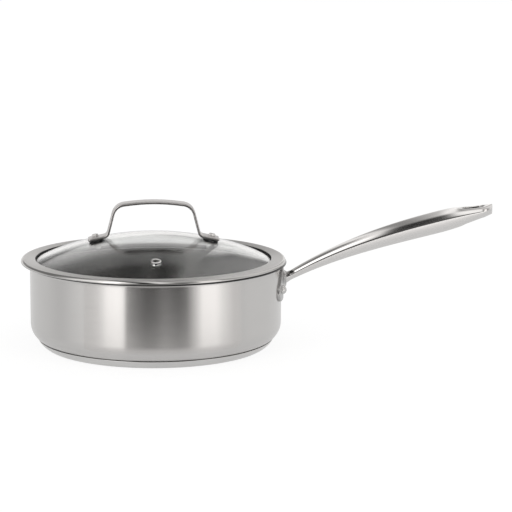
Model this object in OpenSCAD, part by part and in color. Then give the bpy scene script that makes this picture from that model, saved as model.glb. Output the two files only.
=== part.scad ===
// Saute pan with a flared lip, a riveted long handle and a domed glass lid.
// Units are millimetres. The origin is the centre of the base's underside,
// +Z is up and the long handle points along +X.

/* [Pan] */
// Inside diameter of the pan
pan_bore = 240; // [236:1:250]
// Height of the pan from the table to the top of its lip
pan_height = 80.8; // [79:0.2:88]
// Thickness of the pan's wall and floor
wall = 0.8; // [0.7:0.1:1.2]
// Outside radius where the wall turns into the floor
corner_r = 17.6; // [15:0.2:20]
// Radius of the bend on the inside of the flared lip
lip_bend = 4; // [3:0.2:4]
// How far the lip reaches out past the wall
lip_reach = 4.75; // [4.5:0.05:5.4]
// Radius of the rolled bead at the lip's edge
bead_r = 0.75; // [0.6:0.05:0.9]

/* [Base] */
// Height of the vessel's floor above the table
base_drop = 4.6; // [4:0.2:5.6]
// How far the flat underside reaches past the centre of the wall's corner
base_reach = 3.6; // [2.6:0.2:4.2]
// Radius of the base cap's rounded side
base_side_r = 17; // [16:0.2:18.4]
// Slope of the base cap's side where it leaves the flat underside
base_side_slope = 28; // [26:0.5:30]
// Thickness of the base cap's steel
cap_t = 0.6; // [0.5:0.05:0.8]
// Height of the cap's edge above the vessel's floor
cap_rim = 2.7; // [2.2:0.1:3]
// Depth of the groove behind the cap's edge
cap_groove = 1; // [0.6:0.1:1.4]

/* [Handle] */
// Length of the handle from its seam to its tip
handle_reach = 196; // [170:1:220]
// Gap between the wall and the seam at the handle's root
handle_seam = 4.7; // [4.2:0.1:6]
// Height of the middle of the handle's root
root_z = 65; // [62:0.5:66]
// How much higher the middle of the tip is
handle_rise = 67.4; // [50:0.2:80]
// Upward slope where the handle leaves the pan
root_slope = 33; // [28:0.5:36]
// Upward slope at the tip
tip_slope = 9; // [4:0.5:14]
// Height of the handle at its seam
root_h = 11.3; // [10:0.1:12]
// Width of the handle at its seam
root_w = 13; // [11:0.1:14]
// Height of the neck where the handle is thinnest
neck_h = 7.8; // [7:0.1:9]
// Width of the neck
neck_w = 12; // [10:0.1:13]
// Distance of the neck from the seam
neck_at = 15; // [12:0.5:20]
// Height of the grip where it is fullest
grip_h = 20; // [17:0.1:22]
// Width of the grip where it is fullest
grip_w = 25; // [22:0.1:28]
// Distance of the fullest place from the seam
grip_at = 145; // [130:1:150]
// Height of the tip
tip_h = 7; // [6:0.1:9]
// Width of the handle just before its rounded tip
tip_w = 21; // [20:0.1:24]
// Radius along the handle of the rounding of the tip, seen from above
tip_round = 11; // [9:0.2:13]
// Length of the hanging slot
slot_length = 22; // [18:0.5:24]
// Width of the hanging slot
slot_w = 11; // [9:0.2:12]
// Distance from the hanging slot to the tip
slot_to_tip = 7.4; // [6.4:0.2:9]
// Depth of the shallow dish round the hanging slot
dish = 2; // [1:0.1:2.4]

/* [Bracket] */
// Thickness of the bracket's plate
plate_t = 2.2; // [1.8:0.1:2.6]
// Height of the plate's lower edge
plate_z = 45.4; // [44.6:0.2:45.6]
// Height of the plate
plate_h = 29.4; // [28:0.2:29.6]
// Width of the plate along its lower edge
plate_low_w = 58; // [54:0.5:62]
// Width of the plate along its upper edge
plate_top_w = 33; // [30:0.5:36]
// Radius of the plate's lower corners
plate_low_r = 9; // [7:0.2:10]
// Radius of the plate's upper corners
plate_top_r = 5.5; // [4:0.1:6]
// How far the bracket's neck stands proud of the handle's root
boss_edge = 0.7; // [0.5:0.1:1.2]

/* [Rivets] */
// Distance between the two rivets
rivet_span = 30; // [28:0.5:32]
// Height of the rivets above the table
rivet_z = 55.8; // [54:0.2:57]
// Diameter of a rivet's outer head
rivet_head_d = 8.9; // [8.4:0.1:9.6]
// Height of a rivet's outer head
rivet_dome = 3.9; // [2.6:0.1:4.1]
// Diameter of a rivet's shank
rivet_d = 5; // [4.4:0.1:5.6]
// Height of a rivet's inner head
rivet_inner = 1.3; // [1:0.1:1.8]

/* [Lid] */
// How far the lid's steel ring reaches out past the pan's lip
ring_over = 1.45; // [1:0.05:3]
// Width of the ring, from its edge to its opening for the glass
ring_w = 13.7; // [13:0.1:16]
// Height of the ring above the pan's lip
ring_rise = 3.3; // [3:0.1:4]
// Thickness of the ring's sheet
sheet = 0.7; // [0.5:0.05:0.8]
// Depth of the skirt that drops inside the pan
skirt_drop = 5.8; // [5.6:0.1:7]
// Slack between the skirt and the pan's wall
skirt_slack = 2.8; // [2.7:0.1:3.2]
// How far the lid has slid toward the back of the pan
lid_shift = 2.3; // [0:0.1:2.3]
// How far the lid has turned on the pan
lid_turn = 5.4; // [0:0.1:10]

/* [Glass] */
// Outer radius of the glass dome
dome_r = 278; // [274:1:284]
// Thickness of the glass
glass_t = 4; // [3.6:0.1:4]
// How far the glass reaches under the ring
glass_tuck = 1.7; // [1.4:0.1:2]
// How far the seal stands back from the ring's edge
seal_back = 0.3; // [0.2:0.05:0.6]
// Height of the gap between the ring's inner edge and the glass
glass_sink = 1.5; // [1:0.1:2]

/* [Lid grip] */
// Width of the grip's strap
strap_w = 18; // [15:0.2:20]
// Thickness of the strap
strap_t = 2.65; // [2:0.05:3]
// Height of the strap's top above the dome's top
grip_top = 32.7; // [28:0.1:38]
// Radius of the strap's arch
arch_r = 185; // [140:1:220]
// Distance of each screw from the middle of the lid
screw_r = 55.3; // [53:0.1:60]
// Length of a foot inside its screw
foot_in = 11.7; // [11:0.1:12.6]
// Length of a foot outside its screw
foot_out = 7.4; // [6:0.1:8]
// Lean of the legs toward the middle
leg_lean = 14.5; // [12:0.5:18]
// Radius of the strap's bend at each foot, along its middle
foot_bend = 5.5; // [4:0.1:6]
// Radius of the strap's bend at each shoulder, along its middle
shoulder_bend = 12.4; // [9:0.1:14]
// Thickness of the pads under the feet
pad_t = 0.9; // [0.8:0.1:2]
// How much smaller than the feet the pads are
pad_margin = 0.8; // [0.4:0.1:1.2]

/* [Lid screws] */
// Diameter of the grip's screws
screw_d = 4; // [3.6:0.1:4.2]
// Slack between a screw and what it passes through
screw_slack = 0.4; // [0.3:0.05:0.6]
// Diameter of a screw's head
head_d = 6.6; // [6.2:0.1:7.4]
// Height of a screw's head
head_h = 2.6; // [2:0.1:3]
// Number of flutes round a screw's head
head_flutes = 8; // [6:1:10]
// Radius of each flute
flute_r = 0.7; // [0.5:0.05:0.8]
// Diameter of the holes in the glass
glass_hole_d = 7; // [6.8:0.1:7.4]
// Diameter of the inner gaskets
gasket_d = 14; // [12:0.2:15]
// Thickness of the inner gaskets
gasket_t = 1; // [0.8:0.1:1.4]
// Diameter of the inner washers
washer_d = 12; // [11:0.2:13]
// Thickness of the inner washers
washer_t = 0.8; // [0.6:0.1:1.2]
// Width of the cap nuts across their flats
nut_flats = 7; // [6.8:0.1:8]
// Height of a cap nut's hexagon
nut_hex = 3.2; // [3:0.1:4]
// Length of thread inside a cap nut
nut_thread = 5; // [4.6:0.1:5.4]

/* [Vent] */
// Distance of the steam vent from the middle of the lid
vent_r = 82; // [75:0.5:88]
// Diameter of the vent's opening
vent_bore = 5.6; // [4.6:0.1:6]
// Wall of the vent's tube
vent_wall = 0.6; // [0.5:0.05:0.8]
// Diameter of the vent's flanges
vent_flange_d = 9.8; // [9.6:0.1:11]
// Thickness of the vent's flanges
vent_flange_t = 0.9; // [0.7:0.1:1.2]
// Thickness of the vent's gasket
vent_gasket_t = 0.6; // [0.5:0.1:0.9]

/* [Hidden] */
$fn = 180;
steel = "silver";
black = "dimgray";

// Radii and centres of the pan's profile
inner_r = pan_bore / 2;
wall_r = inner_r + wall;
corner_x = wall_r - corner_r;
corner_z = base_drop + corner_r;
straight_top = pan_height - lip_bend;
lip_r = wall_r + lip_reach;

// Centre of the base cap's side and the heights of its edge and filling
base_flat_r = corner_x + base_reach;
side_x = base_flat_r - base_side_r * sin(base_side_slope);
side_z = base_side_r * cos(base_side_slope);
rim_z = base_drop + cap_rim;
core_top = rim_z - cap_groove;

// Handle stations, seen from the side
seam_x = wall_r + handle_seam;
tip_x = seam_x + handle_reach;
neck_x = seam_x + neck_at;
full_x = seam_x + grip_at;
round_x = tip_x - tip_round;
slot_x = tip_x - slot_to_tip - slot_length / 2;
crease_thin = 0.62;
crease_full = 0.52;
crown_power = 0.87;
keel_share = 0.78;
dish_margin = 6;
body_steps = 30;
tip_steps = 16;
round_steps = 6;
half_steps = 12;

// Bracket and rivets
plate_r = wall_r + plate_t;
rivet_turn = asin(rivet_span / 2 / wall_r);
rivet_slack = 0.1;
seat_gap = 0.1;
side_slip = 0.02;

// Lid: its ring, its glass and the heights of its grip's screws
ring_r = lip_r + ring_over;
open_r = ring_r - ring_w;
ring_top = pan_height + ring_rise;
roll_r = ring_rise - sheet;
skirt_r = inner_r - skirt_slack;
skirt_z = pan_height - skirt_drop;
glass_r = open_r + glass_tuck;
seal_r = open_r + seal_back;
dome_z = ring_top - sheet - glass_sink - sqrt(dome_r * dome_r - open_r * open_r);
crown_z = dome_z + dome_r;
grip_tilt = asin(screw_r / dome_r);
vent_tilt = asin(vent_r / dome_r);
foot_top = pad_t + strap_t;
hole_r = (screw_d + screw_slack) / 2;
gasket_z = -glass_t - seat_gap;
washer_z = gasket_z - gasket_t;
nut_z = washer_z - washer_t;
nut_skin = 1.2;
vent_tube_r = vent_bore / 2 + vent_wall;
vent_slack = 0.2;
grip_edge = 5;

// Weight of two numbers or points
function mix(a, b, t) = a * (1 - t) + b * t;

// Point of a cubic curve with end points a and d and pull points b and c
function cubic(a, b, c, d, t) =
    a * pow(1 - t, 3) + b * 3 * t * pow(1 - t, 2) + c * 3 * t * t * (1 - t) + d * pow(t, 3);

// Middle line of the handle, as a height over the distance from the seam
pull = handle_reach / 3;
function mid_z(x) =
    cubic(root_z, root_z + pull * tan(root_slope),
          root_z + handle_rise - pull * tan(tip_slope), root_z + handle_rise,
          (x - seam_x) / handle_reach);

// How full the grip is: 0 at the neck and the tip, 1 where it is fullest
function fullness(x) =
    x < neck_x ? 0 :
    x < full_x ? sin(90 * (x - neck_x) / (full_x - neck_x)) :
    cos(90 * (x - full_x) / (tip_x - full_x));

// How much of the flare at the seam is left
function flare(x) = x < neck_x ? pow((neck_x - x) / neck_at, 2) : 0;

// Height and half width of the handle at one station
function handle_h(x) =
    mix(x < full_x ? neck_h : tip_h, grip_h, fullness(x)) + (root_h - neck_h) * flare(x);
function plain_w(x) =
    mix(x < full_x ? neck_w : tip_w, grip_w, fullness(x)) + (root_w - neck_w) * flare(x);
function tip_turn(x) = x < round_x ? 1 : sqrt(1 - 0.94 * pow((x - round_x) / tip_round, 2));
function half_w(x) = plain_w(x) * tip_turn(x) / 2;

// Depth of the dish at one place on the top
function dish_at(x, y) =
    let (along = min(1, abs(x - slot_x) / (slot_length / 2 + dish_margin)), across = min(1, abs(y) / (tip_w / 2)))
    dish * pow(cos(90 * along), 2) * (1 - across * across);

// Outline of one station: a full crown above the crease and a slimmer underside
function station(x, w, h, low) =
    let (up = h * (1 - low), down = h * low, crease = mid_z(x) - h / 2 + down)
    concat(
        [for (i = [0:half_steps])
            let (a = 180 * i / half_steps, c = cos(a),
                 y = w * sign(c) * pow(abs(c), crown_power))
            [x, y, crease + up * pow(sin(a), crown_power) - dish_at(x, y) * sin(a)]],
        [for (i = [1:2 * half_steps - 1])
            let (s = i / half_steps - 1, t = 1 - abs(s))
            [x, sign(s) * w * (pow(1 - t, 2) + 2 * t * (1 - t) * keel_share),
             crease - down * (2 * t * (1 - t) + t * t)]]);

function handle_station(x) =
    station(x, half_w(x), handle_h(x), mix(crease_thin, crease_full, fullness(x)));

// Places of the stations: even along the body and closer together toward the tip
dish_x = slot_x - slot_length / 2 - dish_margin;
handle_xs = concat(
    [for (i = [0:body_steps - 1]) mix(seam_x, dish_x, i / body_steps)],
    [for (i = [0:tip_steps]) mix(dish_x, round_x, i / tip_steps)],
    [for (i = [1:round_steps]) round_x + tip_round * sin(90 * i / round_steps)]);

// Skin through a list of outlines that have the same number of points
module loft(rings) {
    n = len(rings[0]);
    last = len(rings) - 1;
    polyhedron(
        points = [for (r = rings) each r],
        faces = concat(
            [[for (i = [0:n - 1]) i]],
            [[for (i = [n - 1:-1:0]) last * n + i]],
            [for (j = [0:last - 1], i = [0:n - 1])
                [j * n + i, (j + 1) * n + i, (j + 1) * n + (i + 1) % n]],
            [for (j = [0:last - 1], i = [0:n - 1])
                [j * n + i, (j + 1) * n + (i + 1) % n, j * n + (i + 1) % n]]));
}

// The vessel's space, seen as a half section and drawn in by a depth
module vessel_half(depth, top) {
    translate([0, base_drop + depth])
        square([corner_x, top - base_drop - depth]);
    translate([0, corner_z])
        square([wall_r - depth, top - corner_z]);
    translate([corner_x, corner_z])
        circle(r = corner_r - depth);
}

// Flared lip with its rolled bead
module lip_half() {
    translate([inner_r + lip_bend, straight_top])
        difference() {
            intersection() {
                circle(r = lip_bend);
                translate([-lip_bend, 0])
                    square(lip_bend);
            }
            circle(r = lip_bend - wall);
        }
    translate([inner_r + lip_bend, pan_height - wall])
        square([lip_r - bead_r - inner_r - lip_bend, wall]);
    translate([lip_r - bead_r, pan_height - bead_r])
        circle(r = bead_r);
}

// Places its children at each rivet, with +Z pointing out of the pan
module at_rivets(radius) {
    for (side = [-1, 1])
        rotate([0, 0, side * rivet_turn])
            translate([radius, 0, rivet_z])
                rotate([0, 90, 0])
                    children();
}

module rivet_holes() {
    at_rivets(inner_r - 2)
        cylinder(r = rivet_d / 2 + rivet_slack, h = wall + plate_t + 4);
}

module pan_vessel() {
    color(steel)
        difference() {
            union() {
                rotate_extrude()
                    difference() {
                        vessel_half(0, straight_top);
                        vessel_half(wall, straight_top + 1);
                    }
                rotate_extrude()
                    lip_half();
            }
            rivet_holes();
        }
}

// The base cap's space, seen as a half section and drawn in by a depth
module cap_half(depth, top) {
    intersection() {
        translate([0, depth])
            square([wall_r, top - depth]);
        union() {
            square([side_x, top]);
            translate([side_x, side_z])
                circle(r = base_side_r - depth);
        }
    }
}

module base_core() {
    color("gray")
        rotate_extrude()
            difference() {
                cap_half(cap_t, core_top);
                vessel_half(0, straight_top);
            }
}

module base_cap() {
    color(steel)
        rotate_extrude()
            difference() {
                cap_half(0, rim_z);
                cap_half(cap_t, rim_z + 1);
                vessel_half(-seat_gap, straight_top);
            }
}

// Outline of the bracket's plate with round corners, as width and height
module plate_outline() {
    low = [plate_low_w / 2 - plate_low_r, plate_z + plate_low_r];
    top = [plate_top_w / 2 - plate_top_r, plate_z + plate_h - plate_top_r];
    run = top - low;
    lean = atan2(-run[0], run[1]) + asin((plate_low_r - plate_top_r) / norm(run));
    out = [cos(lean), sin(lean)];
    for (side = [-1, 1])
        mirror_side(side) {
            translate(low)
                circle(r = plate_low_r);
            translate(top)
                circle(r = plate_top_r);
            polygon([[0, plate_z], [low[0], plate_z], low, low + (plate_low_r - side_slip) * out,
                     top + (plate_top_r - side_slip) * out, top, [top[0], plate_z + plate_h],
                     [0, plate_z + plate_h]]);
        }
}

module mirror_side(side) {
    if (side < 0)
        mirror([1, 0])
            children();
    else
        children();
}

module handle_bracket() {
    boss = station(seam_x, root_w / 2 + boss_edge, root_h + 2 * boss_edge, crease_thin);
    color(steel)
        difference() {
            union() {
                intersection() {
                    cylinder(r = plate_r, h = pan_height);
                    translate([wall_r / 2, 0, 0])
                        rotate([90, 0, 90])
                            linear_extrude(wall_r)
                                plate_outline();
                }
                translate([wall_r, 0, 0])
                    rotate([90, 0, 90])
                        linear_extrude(seam_x - wall_r)
                            polygon([for (p = boss) [p[1], p[2]]]);
            }
            translate([0, 0, -1])
                cylinder(r = wall_r, h = pan_height + 2);
            rivet_holes();
        }
}

module handle() {
    color(steel)
        difference() {
            loft([for (x = handle_xs) handle_station(x)]);
            translate([slot_x, 0, root_z])
                linear_extrude(2 * handle_rise)
                    round_slot(slot_length, slot_w);
        }
}

// Oblong with round ends, lying along the first axis
module round_slot(length, width) {
    square([length - width, width], center = true);
    for (side = [-1, 1])
        translate([side * (length - width) / 2, 0])
            circle(d = width);
}

// Part of a ball: a round head of the given width and height, standing on +Z
module dome_head(d, h) {
    ball = (d * d / 4 + h * h) / (2 * h);
    intersection() {
        translate([0, 0, h - ball])
            sphere(r = ball);
        cylinder(d = d, h = h);
    }
}

module handle_rivets() {
    color(steel) {
        at_rivets(plate_r)
            dome_head(rivet_head_d, rivet_dome);
        at_rivets(inner_r - seat_gap)
            cylinder(d = rivet_d, h = plate_r - inner_r + seat_gap);
        at_rivets(inner_r - seat_gap)
            mirror([0, 0, 1])
                dome_head(rivet_head_d, rivet_inner);
    }
}

// Places its children where the lid lies on the pan
module on_pan() {
    translate([-lid_shift, 0, 0])
        rotate([0, 0, lid_turn])
            children();
}

// Places its children on the glass, with +Z out of the dome. What lies there is flat,
// and the glass falls away from it by less than a quarter of a millimetre.
module on_dome(side) {
    translate([0, 0, dome_z])
        rotate([0, side * grip_tilt, 0])
            translate([0, 0, dome_r])
                children();
}

module at_screws() {
    on_pan()
        for (side = [-1, 1])
            on_dome(side)
                children();
}

module at_vent() {
    on_pan()
        translate([0, 0, dome_z])
            rotate([vent_tilt, 0, 0])
                translate([0, 0, dome_r])
                    children();
}

// The ball that the glass is cut from, drawn in by a depth
module dome_ball(depth) {
    translate([0, 0, dome_z])
        sphere(r = dome_r - depth, $fn = 360);
}

module glass_blank() {
    difference() {
        intersection() {
            dome_ball(0);
            cylinder(r = glass_r, h = crown_z + 1);
        }
        dome_ball(glass_t);
    }
}

module lid_glass() {
    color("lightblue", 0.4)
        difference() {
            on_pan()
                glass_blank();
            at_screws()
                translate([0, 0, -2 * glass_t])
                    cylinder(d = glass_hole_d, h = 3 * glass_t);
            at_vent()
                translate([0, 0, -2 * glass_t])
                    cylinder(r = vent_tube_r + vent_slack, h = 3 * glass_t);
        }
}

// Folded sheet of the lid's ring, seen as a half section
module ring_half() {
    roll_x = ring_r - roll_r;
    roll_z = ring_top - roll_r;
    difference() {
        union() {
            translate([open_r, pan_height])
                square([roll_x - open_r, ring_rise]);
            translate([roll_x, pan_height])
                square([roll_r - sheet, sheet]);
            translate([ring_r - sheet, roll_z])
                circle(r = sheet);
            intersection() {
                translate([roll_x, roll_z])
                    circle(r = roll_r);
                translate([roll_x, roll_z])
                    square(roll_r);
            }
        }
        translate([open_r - 1, roll_z])
            square([roll_x - open_r + 1, roll_r - sheet]);
        intersection() {
            translate([roll_x, roll_z])
                circle(r = roll_r - sheet);
            translate([roll_x, roll_z])
                square(roll_r);
        }
        translate([open_r - 1, pan_height - 1])
            square([skirt_r - sheet - open_r + 1, sheet + 2]);
    }
    translate([skirt_r - sheet, skirt_z + sheet])
        square([sheet, skirt_drop]);
    translate([skirt_r - sheet, skirt_z + sheet])
        circle(r = sheet);
    translate([seal_r, skirt_z])
        square([skirt_r - sheet - seal_r, sheet]);
}

module lid_ring() {
    color(steel)
        on_pan()
            rotate_extrude()
                ring_half();
}

module lid_seal() {
    color(black)
        on_pan()
            difference() {
                rotate_extrude()
                    difference() {
                        translate([seal_r, skirt_z + sheet])
                            square([skirt_r - sheet - seal_r, ring_top - skirt_z - 2 * sheet]);
                        translate([skirt_r - sheet, skirt_z + sheet])
                            circle(r = sheet);
                    }
                glass_blank();
            }
}

// Meeting point of the line through p along d and the line through q along e
function meet(p, d, q, e) = p + d * (cross(q - p, e) / cross(d, e));

// Points of the round bend of radius r that replaces the corner b of the path a, b, c
function bend(a, b, c, r) =
    let (u = (a - b) / norm(a - b), v = (c - b) / norm(c - b),
         half = acos(u * v) / 2, m = (u + v) / norm(u + v),
         centre = b + m * r / sin(half), start = b + u * r / tan(half) - centre,
         turn = sign(cross(b - a, c - b)) * (180 - 2 * half))
    [for (i = [0:8])
        let (g = turn * i / 8)
        centre + [start[0] * cos(g) - start[1] * sin(g), start[0] * sin(g) + start[1] * cos(g)]];

// Outline of a strap of thickness t along a path of points
function ribbon(path, t) =
    let (n = len(path),
         dirs = [for (i = [0:n - 2]) (path[i + 1] - path[i]) / norm(path[i + 1] - path[i])],
         offs = [for (i = [0:n - 1])
             let (a = dirs[max(0, i - 1)], b = dirs[min(n - 2, i)], m = (a + b) / norm(a + b))
             [-m[1], m[0]] * t / 2 / (m * b)])
    concat([for (i = [0:n - 1]) path[i] + offs[i]],
           [for (i = [n - 1:-1:0]) path[i] - offs[i]]);

// Right half of the strap's middle line, from its foot's end to its top
foot_dir = [cos(grip_tilt), -sin(grip_tilt)];
foot_mid = [0, dome_z] + (dome_r + pad_t + strap_t / 2) * [sin(grip_tilt), cos(grip_tilt)];
foot_end = foot_mid + foot_out * foot_dir;
leg_foot = foot_mid - foot_in * foot_dir;
leg_dir = [-sin(leg_lean), cos(leg_lean)];
arch_z = crown_z + grip_top - strap_t / 2 - arch_r;
arch_turn = 7;
function arch(a) = [0, arch_z] + arch_r * [sin(a), cos(a)];
shoulder = meet(leg_foot, leg_dir, arch(arch_turn), [cos(arch_turn), -sin(arch_turn)]);
half_path = concat(
    [foot_end],
    bend(foot_end, leg_foot, shoulder, foot_bend),
    bend(leg_foot, shoulder, arch(arch_turn), shoulder_bend),
    [for (i = [0:9]) arch(arch_turn * (1 - i / 10))]);
strap_path = concat(
    half_path,
    [arch(0)],
    [for (i = [len(half_path) - 1:-1:0]) [-half_path[i][0], half_path[i][1]]]);

// Plan of the strap with rounded ends
module strap_plan() {
    long = foot_end[0] + strap_t;
    square([2 * (long - grip_edge), strap_w], center = true);
    square([2 * long, strap_w - 2 * grip_edge], center = true);
    for (sx = [-1, 1], sy = [-1, 1])
        translate([sx * (long - grip_edge), sy * (strap_w / 2 - grip_edge)])
            circle(r = grip_edge);
}

module lid_grip() {
    color(steel)
        difference() {
            on_pan()
                intersection() {
                    translate([0, strap_w / 2, 0])
                        rotate([90, 0, 0])
                            linear_extrude(strap_w)
                                polygon(ribbon(strap_path, strap_t));
                    translate([0, 0, pan_height])
                        linear_extrude(crown_z - pan_height + 2 * grip_top)
                            strap_plan();
                }
            at_screws()
                cylinder(r = hole_r, h = 2 * foot_top);
        }
}

module grip_screws() {
    color(steel)
        at_screws() {
            translate([0, 0, foot_top])
                dome_screw_head();
            translate([0, 0, nut_z - nut_thread])
                cylinder(d = screw_d, h = foot_top + nut_thread - nut_z);
        }
}

// Fluted head with a crowned top
module dome_screw_head() {
    crown = head_h / 3;
    difference() {
        union() {
            cylinder(d = head_d, h = head_h - crown);
            translate([0, 0, head_h - crown])
                dome_head(head_d, crown);
        }
        for (i = [0:head_flutes - 1])
            rotate([0, 0, 360 * i / head_flutes])
                translate([head_d / 2 + flute_r / 3, 0, -1])
                    cylinder(r = flute_r, h = head_h + 2, $fn = 48);
    }
}

module grip_pads() {
    long = foot_in + foot_out - 2 * pad_margin - foot_bend / 2;
    color(black)
        difference() {
            on_pan()
                for (side = [-1, 1])
                    on_dome(side)
                        translate([side * (foot_out - pad_margin - long / 2), 0, pad_t / 2])
                            cube([long, strap_w - 2 * pad_margin, pad_t], center = true);
            at_screws()
                translate([0, 0, -pad_t])
                    cylinder(r = hole_r, h = 3 * pad_t);
        }
}

module tube(outer, inner, h) {
    difference() {
        cylinder(r = outer, h = h);
        translate([0, 0, -1])
            cylinder(r = inner, h = h + 2);
    }
}

module hole_sleeves() {
    color(black)
        at_screws()
            translate([0, 0, seat_gap - glass_t])
                tube(glass_hole_d / 2 - seat_gap, hole_r, glass_t - 2 * seat_gap);
}

module inner_gaskets() {
    color(black)
        at_screws()
            translate([0, 0, washer_z])
                tube(gasket_d / 2, hole_r, gasket_t);
}

module inner_washers() {
    color(steel)
        at_screws()
            translate([0, 0, nut_z])
                tube(washer_d / 2, hole_r, washer_t);
}

module cap_nuts() {
    color(steel)
        at_screws()
            translate([0, 0, nut_z])
                mirror([0, 0, 1])
                    cap_nut();
}

module cap_nut() {
    round_r = nut_flats / 2 - 0.2;
    difference() {
        union() {
            cylinder(d = nut_flats / cos(30), h = nut_hex, $fn = 6);
            cylinder(r = round_r, h = nut_thread + nut_skin - round_r / 2);
            translate([0, 0, nut_thread + nut_skin - round_r / 2])
                dome_head(2 * round_r, round_r / 2);
        }
        translate([0, 0, -1])
            cylinder(d = screw_d, h = nut_thread + 1);
    }
}

module vent_eyelet() {
    low = -glass_t - vent_flange_t - seat_gap;
    color(steel)
        at_vent()
            difference() {
                union() {
                    translate([0, 0, vent_gasket_t])
                        dome_head(vent_flange_d, vent_flange_t);
                    translate([0, 0, low])
                        cylinder(r = vent_tube_r, h = vent_gasket_t - low);
                    translate([0, 0, low])
                        cylinder(d = vent_flange_d, h = vent_flange_t);
                }
                translate([0, 0, low - 1])
                    cylinder(d = vent_bore, h = vent_gasket_t + vent_flange_t - low + 2);
            }
}

module vent_gasket() {
    color(black)
        at_vent()
            tube(vent_flange_d / 2, vent_tube_r + vent_slack, vent_gasket_t);
}

pan_vessel();
base_core();
base_cap();
handle_bracket();
handle();
handle_rivets();
lid_glass();
lid_ring();
lid_seal();
lid_grip();
grip_screws();
grip_pads();
hole_sleeves();
inner_gaskets();
inner_washers();
cap_nuts();
vent_eyelet();
vent_gasket();
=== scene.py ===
# Saute pan with a domed glass lid: fine shapes, finishes and a small studio round the fixed frame.
# Sizes in the dictionaries are millimetres and degrees. Meshes are in metres, in the frame's own axes.
from math import acos, asin, atan2, ceil, cos, degrees, pi, radians, sin, sqrt, tan

import bmesh
import bpy
import numpy as np
from mathutils import Matrix, Vector


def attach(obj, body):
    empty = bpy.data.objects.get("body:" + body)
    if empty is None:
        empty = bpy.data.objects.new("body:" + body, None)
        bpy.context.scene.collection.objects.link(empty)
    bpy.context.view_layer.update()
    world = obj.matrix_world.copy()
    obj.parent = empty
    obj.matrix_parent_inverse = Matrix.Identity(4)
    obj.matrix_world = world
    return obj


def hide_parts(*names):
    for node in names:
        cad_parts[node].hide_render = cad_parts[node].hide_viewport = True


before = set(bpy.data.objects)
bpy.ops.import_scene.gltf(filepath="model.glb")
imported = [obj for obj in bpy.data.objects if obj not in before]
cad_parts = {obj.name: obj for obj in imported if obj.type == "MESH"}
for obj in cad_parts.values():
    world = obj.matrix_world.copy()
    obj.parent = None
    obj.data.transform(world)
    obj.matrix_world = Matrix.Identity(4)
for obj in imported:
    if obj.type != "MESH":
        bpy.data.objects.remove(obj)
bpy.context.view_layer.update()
mm = 0.001
roundSteps = 320  # steps round the pan, its base and the lid's ring
print("frame loaded with", len(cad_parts), "nodes")


# Points on a circle: centre plus radius times (cos, sin) of evenly spaced angles.
def arc(cx, cy, radius, start, end, steps):
    angles = np.radians(np.linspace(start, end, steps + 1))
    return np.stack([cx + radius * np.cos(angles), cy + radius * np.sin(angles)], 1)


# A path whose corners are (x, y, radius). A corner of angle 2h becomes an arc that starts
# radius / tan(h) away from it on each side, and a guard point beside each arc keeps the runs flat.
def roundPath(corners, closed=True, stepDeg=9, guard=0.12):
    spots = np.array([corner[:2] for corner in corners], float)
    count = len(corners)
    pieces = []
    for i, (x, y, radius) in enumerate(corners):
        if radius == 0 or (not closed and i in (0, count - 1)):
            pieces.append([[x, y]])
            continue
        back = spots[i - 1] - spots[i]
        ahead = spots[(i + 1) % count] - spots[i]
        spare = min(np.linalg.norm(back), np.linalg.norm(ahead))
        back = back / np.linalg.norm(back)
        ahead = ahead / np.linalg.norm(ahead)
        half = acos(float(np.clip(back @ ahead, -1, 1))) / 2
        run = radius / tan(half)
        centre = spots[i] + (back + ahead) / np.linalg.norm(back + ahead) * radius / sin(half)
        first = spots[i] + back * run - centre
        side = np.sign(back[1] * ahead[0] - back[0] * ahead[1])
        start = degrees(atan2(first[1], first[0]))
        turn = side * (180 - 2 * degrees(half))
        beside = run + min(guard, 0.2 * max(spare - run, 0))
        pieces.append([spots[i] + back * beside])
        pieces.append(arc(*centre, radius, start, start + turn, max(2, ceil(abs(turn) / stepDeg))))
        pieces.append([spots[i] + ahead * beside])
    return np.concatenate([np.array(piece, float) for piece in pieces])


# Rounded rectangle between two corners.
def roundBox(x1, y1, x2, y2, radius, stepDeg=12, guard=0.12):
    corners = [(x1, y1, radius), (x2, y1, radius), (x2, y2, radius), (x1, y2, radius)]
    return roundPath(corners, stepDeg=stepDeg, guard=guard)


# Distance along a path at each of its points: the running sum of its steps.
def runAlong(path):
    return np.concatenate([[0], np.cumsum(np.linalg.norm(np.diff(path, axis=0), axis=1))])


# Numbers of the four corners of every cell of a grid of points, row by row.
def gridFaces(rows, cols, wrapRows, wrapCols):
    i = np.arange(rows if wrapRows else rows - 1)[:, None]
    j = np.arange(cols if wrapCols else cols - 1)[None, :]
    nextRow = (i + 1) % rows * cols
    nextCol = (j + 1) % cols
    corners = [i * cols + j, i * cols + nextCol, nextRow + nextCol, nextRow + j]
    return np.stack(np.broadcast_arrays(*corners), -1).reshape(-1, 4)


# A surface of revolution: profile point (radius, height) at angle a stands at
# (radius cos a, radius sin a, height).
def revolve(profile, count=256, closed=True):
    angles = np.linspace(0, 2 * pi, count, endpoint=False)
    x = np.outer(np.cos(angles), profile[:, 0])
    y = np.outer(np.sin(angles), profile[:, 0])
    z = np.broadcast_to(profile[:, 1], x.shape)
    return np.stack([x, y, z], -1).reshape(-1, 3), gridFaces(count, len(profile), True, closed)


# A stack of outlines round the z axis. Each level is (height, radius or one radius for each angle),
# and a radius of 0 closes an end.
def polarStack(levels, count=96):
    angles = np.linspace(0, 2 * pi, count, endpoint=False)
    radii = np.stack([np.broadcast_to(np.asarray(level[1], float), (count,)) for level in levels])
    z = np.broadcast_to(np.array([[level[0]] for level in levels], float), radii.shape)
    points = np.stack([radii * np.cos(angles), radii * np.sin(angles), z], -1)
    return points.reshape(-1, 3), gridFaces(len(levels), count, False, True)


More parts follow.
